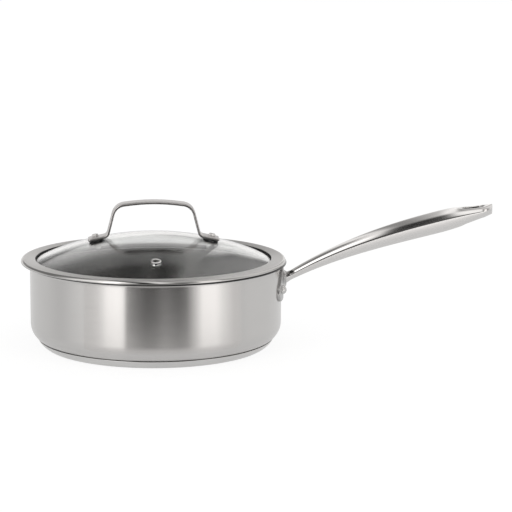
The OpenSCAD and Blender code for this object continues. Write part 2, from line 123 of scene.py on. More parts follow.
# A stack of one closed outline (x, y), moved in along its own normals by an inset at each height.
# The first and last levels are closed to their middle.
def slab(outline, levels):
    ahead = np.roll(outline, -1, 0) - np.roll(outline, 1, 0)
    normal = np.stack([ahead[:, 1], -ahead[:, 0]], 1)
    normal /= np.maximum(np.linalg.norm(normal, axis=1, keepdims=True), 1e-9)
    middle = np.broadcast_to(outline.mean(0), outline.shape)
    rows = [np.column_stack([outline - normal * inset, np.full(len(outline), z)]) for inset, z in levels]
    ends = [np.column_stack([middle, np.full(len(outline), level[1])]) for level in (levels[0], levels[-1])]
    rows = [ends[0]] + rows + [ends[1]]
    return np.concatenate(rows), gridFaces(len(rows), len(outline), False, True)


# Closed outline of a folded sheet: its middle path moved half the thickness to both sides,
# with a half circle at each end.
def sheetOutline(path, thickness):
    ahead = np.gradient(path, axis=0)
    ahead /= np.linalg.norm(ahead, axis=1, keepdims=True)
    left = np.stack([-ahead[:, 1], ahead[:, 0]], 1) * thickness / 2
    lastTurn = degrees(atan2(left[-1][1], left[-1][0]))
    firstTurn = degrees(atan2(-left[0][1], -left[0][0]))
    lastEnd = arc(*path[-1], thickness / 2, lastTurn, lastTurn - 180, 6)[1:-1]
    firstEnd = arc(*path[0], thickness / 2, firstTurn, firstTurn - 180, 6)[1:-1]
    return np.concatenate([path + left, lastEnd, (path - left)[::-1], firstEnd])


# Matrix of a turn by degrees about an axis.
def turned(angle, axis):
    return np.array(Matrix.Rotation(radians(angle), 4, axis))


# Matrix of a shift.
def moved(x=0, y=0, z=0):
    return np.array(Matrix.Translation((x, y, z)))


# Each shell's points times a 4 x 4 matrix.
def place(shell, matrix):
    points, faces = shell
    return points @ matrix[:3, :3].T + matrix[:3, 3], faces


# Several shells as one, with each one's point numbers moved on past the last.
def joined(shells):
    starts = np.cumsum([0] + [len(points) for points, faces in shells[:-1]])
    points = np.concatenate([points for points, faces in shells])
    return points, np.concatenate([shell[1] + start for shell, start in zip(shells, starts)])


# Puts an object with this data into the scene.
def linked(name, data):
    made = bpy.data.objects.new(name, data)
    bpy.context.scene.collection.objects.link(made)
    return made


# Gives each point of a mesh a value or a vector.
def pointValues(mesh, name, values):
    kind = "FLOAT" if values.ndim == 1 else "FLOAT_VECTOR"
    attribute = mesh.attributes.new(name, kind, "POINT")
    attribute.data.foreach_set("value" if kind == "FLOAT" else "vector", values.astype(np.float32).ravel())


# Makes a mesh object from a shell in millimetres: doubled points at poles and folds are merged
# and the faces point outwards.
def meshObject(name, shell, values=None):
    points, faces = shell
    mesh = bpy.data.meshes.new(name)
    mesh.vertices.add(len(points))
    mesh.vertices.foreach_set("co", (points * mm).astype(np.float32).ravel())
    mesh.loops.add(faces.size)
    mesh.loops.foreach_set("vertex_index", faces.astype(np.int32).ravel())
    mesh.polygons.add(len(faces))
    mesh.polygons.foreach_set("loop_start", np.arange(0, faces.size, 4, dtype=np.int32))
    mesh.update(calc_edges=True)
    for key, value in (values or {}).items():
        pointValues(mesh, key, value)
    shape = bmesh.new()
    shape.from_mesh(mesh)
    bmesh.ops.remove_doubles(shape, verts=shape.verts, dist=0.0005 * mm)
    bmesh.ops.recalc_face_normals(shape, faces=shape.faces)
    if shape.calc_volume(signed=True) < 0:
        bmesh.ops.reverse_faces(shape, faces=shape.faces)
    shape.to_mesh(mesh)
    shape.free()
    return linked(name, mesh)


# Cuts closed shells out of an object and keeps the result as its own mesh.
def cutOut(made, shells):
    cutter = meshObject(made.name + "Cutter", joined(shells))
    cut = made.modifiers.new("holes", "BOOLEAN")
    cut.operation = "DIFFERENCE"
    cut.solver = "EXACT"
    cut.object = cutter
    bpy.context.view_layer.update()
    seen = made.evaluated_get(bpy.context.evaluated_depsgraph_get())
    mesh = bpy.data.meshes.new_from_object(seen)
    made.modifiers.clear()
    made.data = mesh
    bpy.data.objects.remove(cutter)


# Shades a finished piece, gives it its finish and sets it on its body in place of CAD nodes.
def finishPiece(made, body, material, nodes, sharp=35):
    made.data.shade_smooth()
    made.data.set_sharp_from_angle(angle=radians(sharp))
    made.data.materials.clear()
    made.data.materials.append(material)
    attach(made, body)
    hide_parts(*nodes)


# Gives a node's sockets their values, or links them where the value is another node's socket.
def wire(tree, node, values):
    for key, value in values.items():
        if isinstance(value, bpy.types.NodeSocket):
            tree.links.new(value, node.inputs[key])
        else:
            node.inputs[key].default_value = value


# Adds a shader node with its settings and its sockets' values.
def addNode(tree, kind, sockets=None, **settings):
    made = tree.nodes.new("ShaderNode" + kind)
    for key, value in settings.items():
        setattr(made, key, value)
    wire(tree, made, sockets or {})
    return made


# A material with its node tree and its shader.
def newMaterial(name, metallic=0.0):
    material = bpy.data.materials.new(name)
    material.use_nodes = True
    tree = material.node_tree
    shader = tree.nodes["Principled BSDF"]
    shader.inputs["Metallic"].default_value = metallic
    return material, tree, shader


# The value that a mesh's points carry under a name.
def carried(tree, name):
    return addNode(tree, "Attribute", attribute_name=name).outputs["Fac"]


# Place on the piece, in metres.
def ownSpot(tree):
    return addNode(tree, "TexCoord").outputs["Object"]


# Noise of a scale at a place, mostly between 0.3 and 0.7.
def noise(tree, spot, scale, detail=2.0):
    return addNode(tree, "TexNoise", {"Vector": spot, "Scale": scale, "Detail": detail}).outputs["Fac"]


# A value carried in a straight line from start..end to low..high, and held at both ends.
def ranged(tree, value, low, high, start=0.0, end=1.0):
    sockets = {"Value": value, "From Min": start, "From Max": end, "To Min": low, "To Max": high}
    return addNode(tree, "MapRange", sockets).outputs[0]


# One operation on two numbers.
def maths(tree, operation, first, second):
    return addNode(tree, "Math", {0: first, 1: second}, operation=operation).outputs[0]


# Vector times a number.
def scaled(tree, vector, factor):
    return addNode(tree, "VectorMath", {0: vector, "Scale": factor}, operation="SCALE").outputs[0]


# Number between two numbers: first where the mask is 0, second where it is 1.
def blended(tree, mask, first, second):
    return addNode(tree, "Mix", {0: mask, 2: first, 3: second}, data_type="FLOAT").outputs[0]


# Colour that turns from the plain one to the marked one where the mask is 1.
def tinted(tree, mask, plain, marked):
    if not isinstance(plain, bpy.types.NodeSocket):
        plain = (*plain, 1)
    return addNode(tree, "Mix", {0: mask, 6: plain, 7: (*marked, 1)}, data_type="RGBA").outputs[2]


# Grain that runs in circles round a vertical axis through (x, y): the noise reads the direction from
# the axis, and height minus radius, so it stays in rings on a wall, a floor and the round between them.
def ringGrain(tree, x, y, lines, stretch):
    spot = ownSpot(tree)
    centred = addNode(tree, "Mapping", {"Vector": spot, "Location": (-x * mm, -y * mm, 0)}).outputs[0]
    flat = addNode(tree, "VectorMath", {0: centred, 1: (1, 1, 0)}, operation="MULTIPLY").outputs[0]
    reach = addNode(tree, "VectorMath", {0: flat}, operation="LENGTH").outputs["Value"]
    way = addNode(tree, "VectorMath", {0: flat}, operation="NORMALIZE").outputs[0]
    height = addNode(tree, "SeparateXYZ", {"Vector": centred}).outputs["Z"]
    fine = maths(tree, "MULTIPLY", maths(tree, "SUBTRACT", height, reach), 1 / (lines * mm))
    lift = addNode(tree, "CombineXYZ", {"Z": fine}).outputs[0]
    return addNode(tree, "VectorMath", {0: scaled(tree, way, stretch), 1: lift}, operation="ADD").outputs[0]


# Grain along a piece: the attribute holds (distance along, place across, place across) in millimetres.
def longGrain(tree, lines, stretch):
    spot = addNode(tree, "Attribute", attribute_name="grain").outputs["Vector"]
    scale = (1 / stretch, 1 / lines, 1 / lines)
    return addNode(tree, "VectorMath", {0: spot, 1: scale}, operation="MULTIPLY").outputs[0]


# Adds grain to a steel: fine lines and slow clouds, added by their shares, change the colour and the
# roughness a little, and the lines alone the bump. Polish is a mask and the roughness that it brings,
# without bump.
def steelDetail(tree, shader, grain, colour, rough, shades, roughShift, depth, polish=None):
    share = finish["lineShare"]
    lines = noise(tree, grain, 1.0, 3.0)
    clouds = noise(tree, ownSpot(tree), finish["cloudScale"])
    cloudPart = maths(tree, "MULTIPLY", clouds, 1 - share)
    both = maths(tree, "ADD", cloudPart, maths(tree, "MULTIPLY", lines, share))
    tone = ranged(tree, both, 1 - shades, 1 + shades, 0.3, 0.7)
    smooth = ranged(tree, both, rough - roughShift, rough + roughShift, 0.3, 0.7)
    bump = addNode(tree, "Bump", {"Height": lines, "Distance": depth * mm, "Strength": 1.0})
    if polish is not None:
        mask, roughPolish = polish
        smooth = blended(tree, mask, smooth, roughPolish)
        wire(tree, bump, {"Strength": maths(tree, "SUBTRACT", 1.0, mask)})
    wire(tree, shader, {"Base Color": scaled(tree, colour, tone), "Roughness": smooth,
                        "Normal": bump.outputs[0]})


# Stretches highlights across circular grain, as brushed lines do.
def ringStretch(tree, shader, amount):
    tangent = addNode(tree, "Tangent", direction_type="RADIAL", axis="Z").outputs[0]
    wire(tree, shader, {"Tangent": tangent, "Anisotropic": amount, "Anisotropic Rotation": 0.25})


# Steel brushed in circles round the pan's axis. Two attributes mark painted shade: the pan's inside is
# painted darker for the shade in the deep bowl, and the lip's bead near black, painted shade of the
# dark gap under the lid's ring.
def ringBrushedSteel(name, colour, rough, stretchAmount):
    material, tree, shader = newMaterial(name, 1.0)
    # Painted shade: a darker colour on the inside, near black on the lip's bead.
    tone = tinted(tree, carried(tree, "inside"), colour, finish["insideShadeColour"])
    tone = tinted(tree, carried(tree, "beadShade"), tone, finish["beadShadeColour"])
    grain = ringGrain(tree, 0, 0, finish["circleLines"], finish["circleRun"])
    steelDetail(tree, shader, grain, tone, rough, 0.05, 0.03, 0.004)
    ringStretch(tree, shader, stretchAmount)
    return material


# Bright steel with faint marks that run no way, or along the piece where it carries "grain".
def polishedSteel(name, colour, rough, lines=0.4, along=False):
    material, tree, shader = newMaterial(name, 1.0)
    if along:
        grain = longGrain(tree, lines, finish["markRun"])
    else:
        grain = scaled(tree, ownSpot(tree), 1 / (lines * mm))
    steelDetail(tree, shader, grain, colour, rough, 0.03, 0.02, 0.0005 if along else 0.0008)
    return material


# Colours are shares of light sent back, and roughness and stretch run from 0 to 1. Lines are millimetres
# apart. A run is a line's length in millimetres, and circleRun is the noise's cells to a radian.
finish = {
    "wallColour": (0.60, 0.59, 0.58), "wallRough": 0.23,
    # painted shade: near black for the lip's bead, darker for the pan's inside
    "beadShadeColour": (0.045, 0.045, 0.045), "insideShadeColour": (0.36, 0.355, 0.35),
    "baseColour": (0.67, 0.665, 0.655), "baseRough": 0.36,
    "bracketColour": (0.46, 0.455, 0.45), "bracketRough": 0.27,
    "handleColour": (0.68, 0.67, 0.66), "crownRough": 0.1, "keelRough": 0.34,
    # painted shade on the wall of the handle's slot
    "slotShadeColour": (0.16, 0.16, 0.16),
    "ringColour": (0.5, 0.495, 0.485), "ringRough": 0.36, "rollRough": 0.1,
    "gripColour": (0.5, 0.487, 0.48), "gripRough": 0.3,
    "smallSteel": (0.6, 0.595, 0.585), "smallRough": 0.2,
    "ventColour": (0.8, 0.795, 0.785), "ventRough": 0.3,
    "coreColour": (0.45, 0.45, 0.46), "coreRough": 0.5,
    "circleLines": 0.16, "circleRun": 4, "ringLines": 0.2, "handleLines": 0.22, "handleRun": 26,
    "markRun": 30, "lineShare": 0.65, "cloudScale": 22.0, "creaseFade": 0.05,
    "wallStretch": 1.0, "baseStretch": 0.7, "ringStretch": 0.8,
}


# The ring's finish: satin on top, polished where the attribute "polish" is 1.
def ringSteel(x, y):
    material, tree, shader = newMaterial("lidRingSteel", 1.0)
    mask = carried(tree, "polish")
    grain = ringGrain(tree, x, y, finish["ringLines"], finish["circleRun"])
    steelDetail(tree, shader, grain, finish["ringColour"], finish["ringRough"], 0.05, 0.03, 0.004,
                (mask, finish["rollRough"]))
    ringStretch(tree, shader, ranged(tree, mask, finish["ringStretch"], 0.0))
    return material


# The handle's finish: polished crown over a satin underside, parted at the crease, with painted
# shade, a dark colour, on the slot's wall inside the hole.
def handleSteel():
    material, tree, shader = newMaterial("handleSteel", 1.0)
    fade = finish["creaseFade"]
    mask = ranged(tree, carried(tree, "aboveCrease"), 0.0, 1.0, -fade, fade)
    # Painted shade: the slot's wall turns dark.
    tone = tinted(tree, carried(tree, "slotWallShade"), finish["handleColour"], finish["slotShadeColour"])
    grain = longGrain(tree, finish["handleLines"], finish["handleRun"])
    steelDetail(tree, shader, grain, tone, finish["keelRough"], 0.04, 0.04, 0.003,
                (mask, finish["crownRough"]))
    return material


# Clear glass with a faint film that roughens it here and there.
def clearGlass():
    material, tree, shader = newMaterial("temperedGlass")
    film = noise(tree, ownSpot(tree), 14.0)
    wire(tree, shader, {"Base Color": (0.965, 0.98, 0.975, 1), "Transmission Weight": 1.0, "IOR": 1.5,
                        "Roughness": ranged(tree, film, 0.0, 0.02)})
    return material


# Matt black rubber with a fine tooth.
def blackSilicone():
    material, tree, shader = newMaterial("blackSilicone")
    tooth = noise(tree, ownSpot(tree), 1800.0)
    bump = addNode(tree, "Bump", {"Height": tooth, "Distance": 0.03 * mm})
    wire(tree, shader, {"Base Color": (0.018, 0.018, 0.019, 1), "Roughness": ranged(tree, tooth, 0.45, 0.7),
                        "Normal": bump.outputs[0]})
    return material


# Black plastic, a little smoother than the rubber.
def mouldedPlastic():
    material, tree, shader = newMaterial("mouldedPlastic")
    tooth = noise(tree, ownSpot(tree), 900.0, 1.0)
    wire(tree, shader, {"Base Color": (0.03, 0.03, 0.03, 1), "Roughness": ranged(tree, tooth, 0.35, 0.5)})
    return material


# Dull grey aluminium with an even grain.
def castAluminium():
    material, tree, shader = newMaterial("castAluminium", 1.0)
    grain = scaled(tree, ownSpot(tree), 900.0)
    steelDetail(tree, shader, grain, finish["coreColour"], finish["coreRough"], 0.06, 0.06, 0.01)
    return material


# Camera at the photograph's place. The pan stands turned by panTurn under it; yaw, pitch and roll aim it.
camera = {"distance": 1600, "height": 370.6, "panTurn": 4, "yaw": 3.4450, "pitch": 10.1239, "roll": 0.4571,
          "lens": 118.42, "sensor": 36}


# Points the camera: yaw and pitch give its look, roll turns its side and top about it, and panTurn
# turns all of it round the pan.
def makeCamera():
    data = bpy.data.cameras.new("photoCamera")
    data.lens = camera["lens"]
    data.sensor_width = camera["sensor"]
    data.clip_start = 0.05
    data.clip_end = 60
    made = linked("photoCamera", data)
    yaw, pitch, roll = (radians(camera[key]) for key in ("yaw", "pitch", "roll"))
    look = Vector((sin(yaw) * cos(pitch), cos(yaw) * cos(pitch), -sin(pitch)))
    right = look.cross(Vector((0, 0, 1))).normalized()
    up = right.cross(look)
    side = right * cos(roll) + up * sin(roll)
    top = up * cos(roll) - right * sin(roll)
    spin = Matrix.Rotation(radians(camera["panTurn"]), 4, "Z")
    aim = Matrix((side, top, -look)).transposed().to_4x4()
    aim.translation = Vector((0, -camera["distance"] * mm, camera["height"] * mm))
    made.matrix_world = spin @ aim
    bpy.context.scene.camera = made


makeCamera()
print("camera set")

# Pan body
pan = {"boreR": 120, "wall": 0.8, "height": 80.8, "cornerR": 17.6, "floorZ": 4.6,
       "lipBend": 4.0, "lipReach": 4.75, "beadR": 0.75, "guard": 0.4}
wallR = pan["boreR"] + pan["wall"]


# Half section of the bowl: floor, round corner, wall, flared lip with a bead, and back down inside. The
# bead's arc starts where it meets the lip's underside, and a point beside each arc keeps the runs flat.
def bowlProfile():
    cornerX = wallR - pan["cornerR"]
    cornerZ = pan["floorZ"] + pan["cornerR"]
    bendX = pan["boreR"] + pan["lipBend"]
    bendZ = pan["height"] - pan["lipBend"]
    beadX = wallR + pan["lipReach"] - pan["beadR"]
    beadZ = pan["height"] - pan["beadR"]
    meets = 180 + degrees(asin((pan["wall"] - pan["beadR"]) / pan["beadR"]))
    keep = pan["guard"]
    outside = np.concatenate([
        [[0, pan["floorZ"]], [cornerX - keep, pan["floorZ"]]],
        arc(cornerX, cornerZ, pan["cornerR"], -90, 0, 24),
        [[wallR, cornerZ + keep], [wallR, bendZ - keep]],
        arc(bendX, bendZ, pan["lipBend"] - pan["wall"], 180, 90, 14),
        arc(beadX, beadZ, pan["beadR"], meets, 450, 24),
    ])
    inside = np.concatenate([
        arc(bendX, bendZ, pan["lipBend"], 90, 180, 14),
        [[pan["boreR"], bendZ - keep], [pan["boreR"], cornerZ + keep]],
        arc(cornerX, cornerZ, pan["cornerR"] - pan["wall"], 0, -90, 24),
        [[cornerX - keep, pan["floorZ"] + pan["wall"]], [0, pan["floorZ"] + pan["wall"]]],
    ])
    return outside, inside


# The lip's bead is painted near black, painted shade of the dark gap under the lid's ring, and the
# inside is painted a darker satin, painted shade of the deep bowl. An attribute marks each.
def makePan():
    steel = ringBrushedSteel("wallSteel", finish["wallColour"], finish["wallRough"], finish["wallStretch"])
    outside, inside = bowlProfile()
    profile = np.concatenate([outside, inside])
    # Painted shade: the bead under the lid's ring, and the whole inside of the bowl.
    edge = (profile[:, 0] > wallR + pan["lipReach"] - 2 * pan["beadR"] + 0.02).astype(float)
    paintedShadeMask = np.repeat([0.0, 1.0], [len(outside), len(inside)])
    made = meshObject("panBody", revolve(profile, roundSteps, closed=False),
                      {"beadShade": np.tile(edge, roundSteps), "inside": np.tile(paintedShadeMask, roundSteps)})
    finishPiece(made, "pan", steel, ["pan_vessel"])


makePan()

# Base
base = {"flatR": 106.8, "sideR": 17, "sideSlope": 28, "sheet": 0.6, "rimZ": 7.3}


# Half section of the cap: flat underside, rounded side, a half-round edge and the sheet's inside.
def capProfile():
    sheet = base["sheet"]
    sideX = base["flatR"] - base["sideR"] * sin(radians(base["sideSlope"]))
    sideZ = base["sideR"] * cos(radians(base["sideSlope"]))
    middle = base["sideR"] - sheet / 2
    last = degrees(asin((base["rimZ"] - sheet / 2 - sideZ) / middle))
    edge = (sideX + middle * cos(radians(last)), sideZ + middle * sin(radians(last)))
    inside = degrees(asin((sheet - sideZ) / (base["sideR"] - sheet)))
    return np.concatenate([
        [[0, 0], [base["flatR"] - pan["guard"], 0]],
        arc(sideX, sideZ, base["sideR"], base["sideSlope"] - 90, last, 12),
        arc(*edge, sheet / 2, last, last + 180, 8)[1:-1],
        arc(sideX, sideZ, base["sideR"] - sheet, last, inside, 8),
        [[0, sheet]],
    ])


# The cap in satin steel, and the core's aluminium on its CAD node.
def makeBase():
    steel = ringBrushedSteel("baseSteel", finish["baseColour"], finish["baseRough"], finish["baseStretch"])
    made = meshObject("baseCap", revolve(capProfile(), roundSteps, closed=False))
    finishPiece(made, "pan", steel, ["base_cap"])
    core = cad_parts["base_core"]
    core.data.materials.clear()
    core.data.materials.append(castAluminium())


makeBase()
print("pan and base made")

# Long handle. It starts at the seam outside the wall and reaches further out. Heights end in H, widths in
# W and places from the seam in At. Rows stand closer from denseFrom before the slot's middle. The slot's
# wall gets painted shade: it starts wallFrom below the surface, is full wallFade deeper and reaches
# wallNear round the slot.
handle = {"seam": 4.7, "reach": 196, "rootZ": 65, "rise": 68.7, "rootSlope": 30.4, "tipSlope": 15,
          "rootH": 11.3, "rootW": 13, "neckH": 9.6, "neckW": 12, "neckAt": 5.2,
          "gripH": 21.4, "gripW": 25, "gripAt": 144.7,
          "tipH": 9.5, "tipW": 21, "tipRound": 11, "tipCurve": 0.94,
          "slotLength": 22, "slotW": 11, "slotToTip": 7.4, "slotEdge": 0.9,
          "dish": 3.2, "dishW": 20, "dishMargin": 7.2, "denseFrom": 18,
          "wallFrom": 0.5, "wallFade": 0.6, "wallNear": 0.35,
          "creaseThin": 0.55, "creaseFull": 0.59, "crownPower": 0.87, "keelShare": 0.78}
seamX = wallR + handle["seam"]
tipX = seamX + handle["reach"]
neckX = seamX + handle["neckAt"]
fullX = seamX + handle["gripAt"]
roundX = tipX - handle["tipRound"]
slotX = tipX - handle["slotToTip"] - handle["slotLength"] / 2


# Straight blend: a at t = 0, b at t = 1.
def mix(a, b, t):
    return a * (1 - t) + b * t


# Middle line of the handle: a cubic curve with the two end slopes.
def middleZ(x):
    h = handle
    t = (x - seamX) / h["reach"]
    pull = h["reach"] / 3
    low = h["rootZ"] + pull * tan(radians(h["rootSlope"]))
    high = h["rootZ"] + h["rise"] - pull * tan(radians(h["tipSlope"]))
    return (h["rootZ"] * (1 - t) ** 3 + low * 3 * t * (1 - t) ** 2 + high * 3 * t * t * (1 - t)
            + (h["rootZ"] + h["rise"]) * t ** 3)


# How full the grip is: a quarter sine up from the neck and a quarter cosine down to the tip.
def fullness(x):
    rise = np.sin(np.pi / 2 * np.clip((x - neckX) / (fullX - neckX), 0, 1))
    fall = np.cos(np.pi / 2 * np.clip((x - fullX) / (tipX - fullX), 0, 1))
    return np.where(x < fullX, rise, fall)


# A size of the section at x: the neck's or the tip's blended to the grip's, plus a squared flare at
# the seam.
def sizeAt(x, root, neck, full, tip):
    flare = np.clip((neckX - x) / handle["neckAt"], 0, 1) ** 2
    return mix(np.where(x < fullX, neck, tip), full, fullness(x)) + (root - neck) * flare


# Height of a section.
def sectionH(x):
    h = handle
    return sizeAt(x, h["rootH"], h["neckH"], h["gripH"], h["tipH"])


# Half width of a section, drawn in round the tip along an ellipse.
def sectionHalfW(x):
    h = handle
    half = sizeAt(x, h["rootW"], h["neckW"], h["gripW"], h["tipW"]) / 2
    return half * np.sqrt(1 - h["tipCurve"] * np.clip((x - roundX) / h["tipRound"], 0, 1) ** 2)


# Height of the crease above the section's lowest point: a share of its height that follows fullness.
def creaseLow(x):
    return sectionH(x) * mix(handle["creaseThin"], handle["creaseFull"], fullness(x))


# Height of the crease: the section's middle less half its height, plus the part below the crease.
def creaseZ(x):
    return middleZ(x) - sectionH(x) / 2 + creaseLow(x)


# Depth of the dish round the slot: cosine squared along the handle, a squared parabola across it.
def dishDepth(x, y):
    along = np.clip(np.abs(x - slotX) / (handle["slotLength"] / 2 + handle["dishMargin"]), 0, 1)
    across = np.clip(np.abs(y) / (handle["dishW"] / 2), 0, 1)
    return handle["dish"] * np.cos(np.pi / 2 * along) ** 2 * (1 - across ** 2) ** 2


# Top of the crown at (x, y): the superellipse height above the crease, less the dish.
def crownZ(x, y):
    c = np.clip(np.abs(y) / sectionHalfW(x), 0, 1) ** (1 / handle["crownPower"])
    s = np.sqrt(1 - c * c)
    return creaseZ(x) + (sectionH(x) - creaseLow(x)) * s ** handle["crownPower"] - dishDepth(x, y) * s


# Underside at (x, y): the keel's curve, with its parameter found from the width.
def keelZ(x, y):
    k = handle["keelShare"]
    share = np.clip(np.abs(y) / sectionHalfW(x), 0, 1)
    t = (np.sqrt((1 - k) ** 2 - (1 - 2 * k) * (1 - share)) - (1 - k)) / (2 * k - 1)
    return creaseZ(x) - creaseLow(x) * (2 * t * (1 - t) + t * t)


# A section's upper half by an angle: its cosine and sine to the crown's power, as shares of the half
# width and of the height.
def crownCurve(angle):
    c = np.cos(angle)
    return np.sign(c) * np.abs(c) ** handle["crownPower"], np.sin(angle) ** handle["crownPower"]


# Its lower half by a share s from -1 to 1: a quadratic curve from each edge to the middle, with its middle
# point pulled out by keelShare. Returns shares of the half width and of the depth.
def keelCurve(s):
    t = 1 - np.abs(s)
    return np.sign(s) * ((1 - t) ** 2 + 2 * t * (1 - t) * handle["keelShare"]), 2 * t * (1 - t) + t * t


# Grid of sections. Half of each goes over the crown by an angle, half under the keel by a share.
def handleShell():
    body = np.linspace(seamX, slotX - handle["denseFrom"], 150)
    slot = np.linspace(slotX - handle["denseFrom"], roundX, 60)[1:]
    tip = roundX + handle["tipRound"] * np.sin(np.radians(np.linspace(0, 90, 22)))[1:]
    x = np.concatenate([[seamX], body, slot, tip, [tipX]])[:, None]
    angle = np.radians(np.linspace(0, 180, 49))[None, :]
    across, up = crownCurve(angle)
    y = sectionHalfW(x) * across
    z = creaseZ(x) + (sectionH(x) - creaseLow(x)) * up - dishDepth(x, y) * np.sin(angle)
    across, down = keelCurve(np.linspace(-1, 1, 41)[None, 1:-1])
    y = np.hstack([y, sectionHalfW(x) * across])
    z = np.hstack([z, creaseZ(x) - creaseLow(x) * down])
    rows = np.stack([np.broadcast_to(x, y.shape), y, z], -1)
    rows[0] = rows[0].mean(0)
    rows[-1] = rows[-1].mean(0)
    return rows.reshape(-1, 3), gridFaces(len(x), y.shape[1], False, True)


# Cutter for the hanging slot. Each ring is the slot's outline moved out a little, at a height below
# the surface that follows a quarter circle, so that the slot gets rounded edges above and below. The
# first rings stand 6 and 0.06 mm clear of the surface and a little wider, so that the cut goes right out.
def slotShell():
    edge, endR = handle["slotEdge"], handle["slotW"] / 2
    half = handle["slotLength"] / 2 - endR
    away = np.concatenate([arc(0, 0, 1, -90, 90, 24), arc(0, 0, 1, 90, 270, 24)])
    ring = away * endR + np.repeat([[slotX + half, 0], [slotX - half, 0]], 25, axis=0)
    levels = [(edge * 1.05, 6.0), (edge * 1.05, 0.06)]
    levels += [(edge * (1 - sin(g)), -edge * (1 - cos(g))) for g in np.radians(np.linspace(0, 90, 9))]
    rows = []
    for surface, side, order in ((crownZ, 1, levels), (keelZ, -1, levels[::-1])):
        for out, lift in order:
            x, y = (ring + away * out).T
            rows.append(np.stack([x, y, surface(x, y) + side * lift], 1))
    ends = [np.broadcast_to(row.mean(0), row.shape) for row in (rows[0], rows[-1])]
    rows = [ends[0]] + rows + [ends[1]]
    return np.concatenate(rows), gridFaces(len(rows), len(ring), False, True)


# The handle's mesh with the slot cut out. Its points carry their height above the crease, whether they
# are on the slot's wall, where shade is painted (deeper than wallFrom and near its outline), and their
# place along the grain.
def makeHandle():
    made = meshObject("longHandle", handleShell())
    cutOut(made, [slotShell()])
    mesh = made.data
    spots = np.zeros(len(mesh.vertices) * 3, np.float32)
    mesh.vertices.foreach_get("co", spots)
    spots = spots.reshape(-1, 3) / mm
    x, y, z = spots.T
    deep = crownZ(x, y) - z
    off = np.hypot(np.maximum(np.abs(x - slotX) - (handle["slotLength"] - handle["slotW"]) / 2, 0), y)
    near = off < handle["slotW"] / 2 + handle["wallNear"]
    paintedShadeMask = np.clip((deep - handle["wallFrom"]) / handle["wallFade"], 0, 1) * near
    pointValues(mesh, "aboveCrease", z - creaseZ(x))
    pointValues(mesh, "slotWallShade", paintedShadeMask)
    pointValues(mesh, "grain", np.stack([x, y, z - middleZ(x)], 1))
    finishPiece(made, "pan", handleSteel(), ["handle"], sharp=38)


makeHandle()
print("handle made")

# Bracket and rivets
bracket = {"thick": 2.2, "lowZ": 45.4, "high": 29.4, "lowW": 58, "topW": 33, "lowR": 9, "topR": 5.5,
           "bossEdge": 0.7, "edgeR": 0.8, "flareReach": 5.5, "flareRise": 2.1, "endR": 0.35}
rivet = {"span": 30, "z": 55.8, "headD": 8.9, "dome": 3.9, "shankD": 5, "inner": 1.3, "seat": 0.1}


# Radius of a closed outline for each angle round the boss's middle, read off its densely spaced points.
def polarRadius(outline, angles):
    closed = np.vstack([outline, outline[:1]])
    step = runAlong(closed)
    dense = np.linspace(0, step[-1], 4000, endpoint=False)
    y = np.interp(dense, step, closed[:, 0])
    z = np.interp(dense, step, closed[:, 1]) - handle["rootZ"]
    return np.interp(angles, np.arctan2(z, y), np.hypot(y, z), period=2 * pi)


# The plate's outline: four corner circles joined by their tangents.
def plateOutline():
    b = bracket
    lowY, topY = b["lowW"] / 2 - b["lowR"], b["topW"] / 2 - b["topR"]
    lowZ, topZ = b["lowZ"] + b["lowR"], b["lowZ"] + b["high"] - b["topR"]
    apart = sqrt((lowY - topY) ** 2 + (topZ - lowZ) ** 2)
    lean = degrees(atan2(lowY - topY, topZ - lowZ) + asin((b["lowR"] - b["topR"]) / apart))
    return np.concatenate([
        arc(lowY, lowZ, b["lowR"], -90, lean, 16), arc(topY, topZ, b["topR"], lean, 90, 10),
        arc(-topY, topZ, b["topR"], 90, 180 - lean, 10), arc(-lowY, lowZ, b["lowR"], 180 - lean, 270, 16)])


# The boss's outline: the handle's section at the seam, grown by the boss's edge.
def bossOutline():
    high = handle["rootH"] + 2 * bracket["bossEdge"]
    half = handle["rootW"] / 2 + bracket["bossEdge"]
    low = high * handle["creaseThin"]
    crease = handle["rootZ"] - high / 2 + low
    across, up = crownCurve(np.radians(np.linspace(0, 180, 61)))
    crown = np.stack([half * across, crease + (high - low) * up], 1)
    across, down = keelCurve(np.linspace(-1, 1, 61)[1:-1])
    return np.concatenate([crown, np.stack([half * across, crease - low * down], 1)])


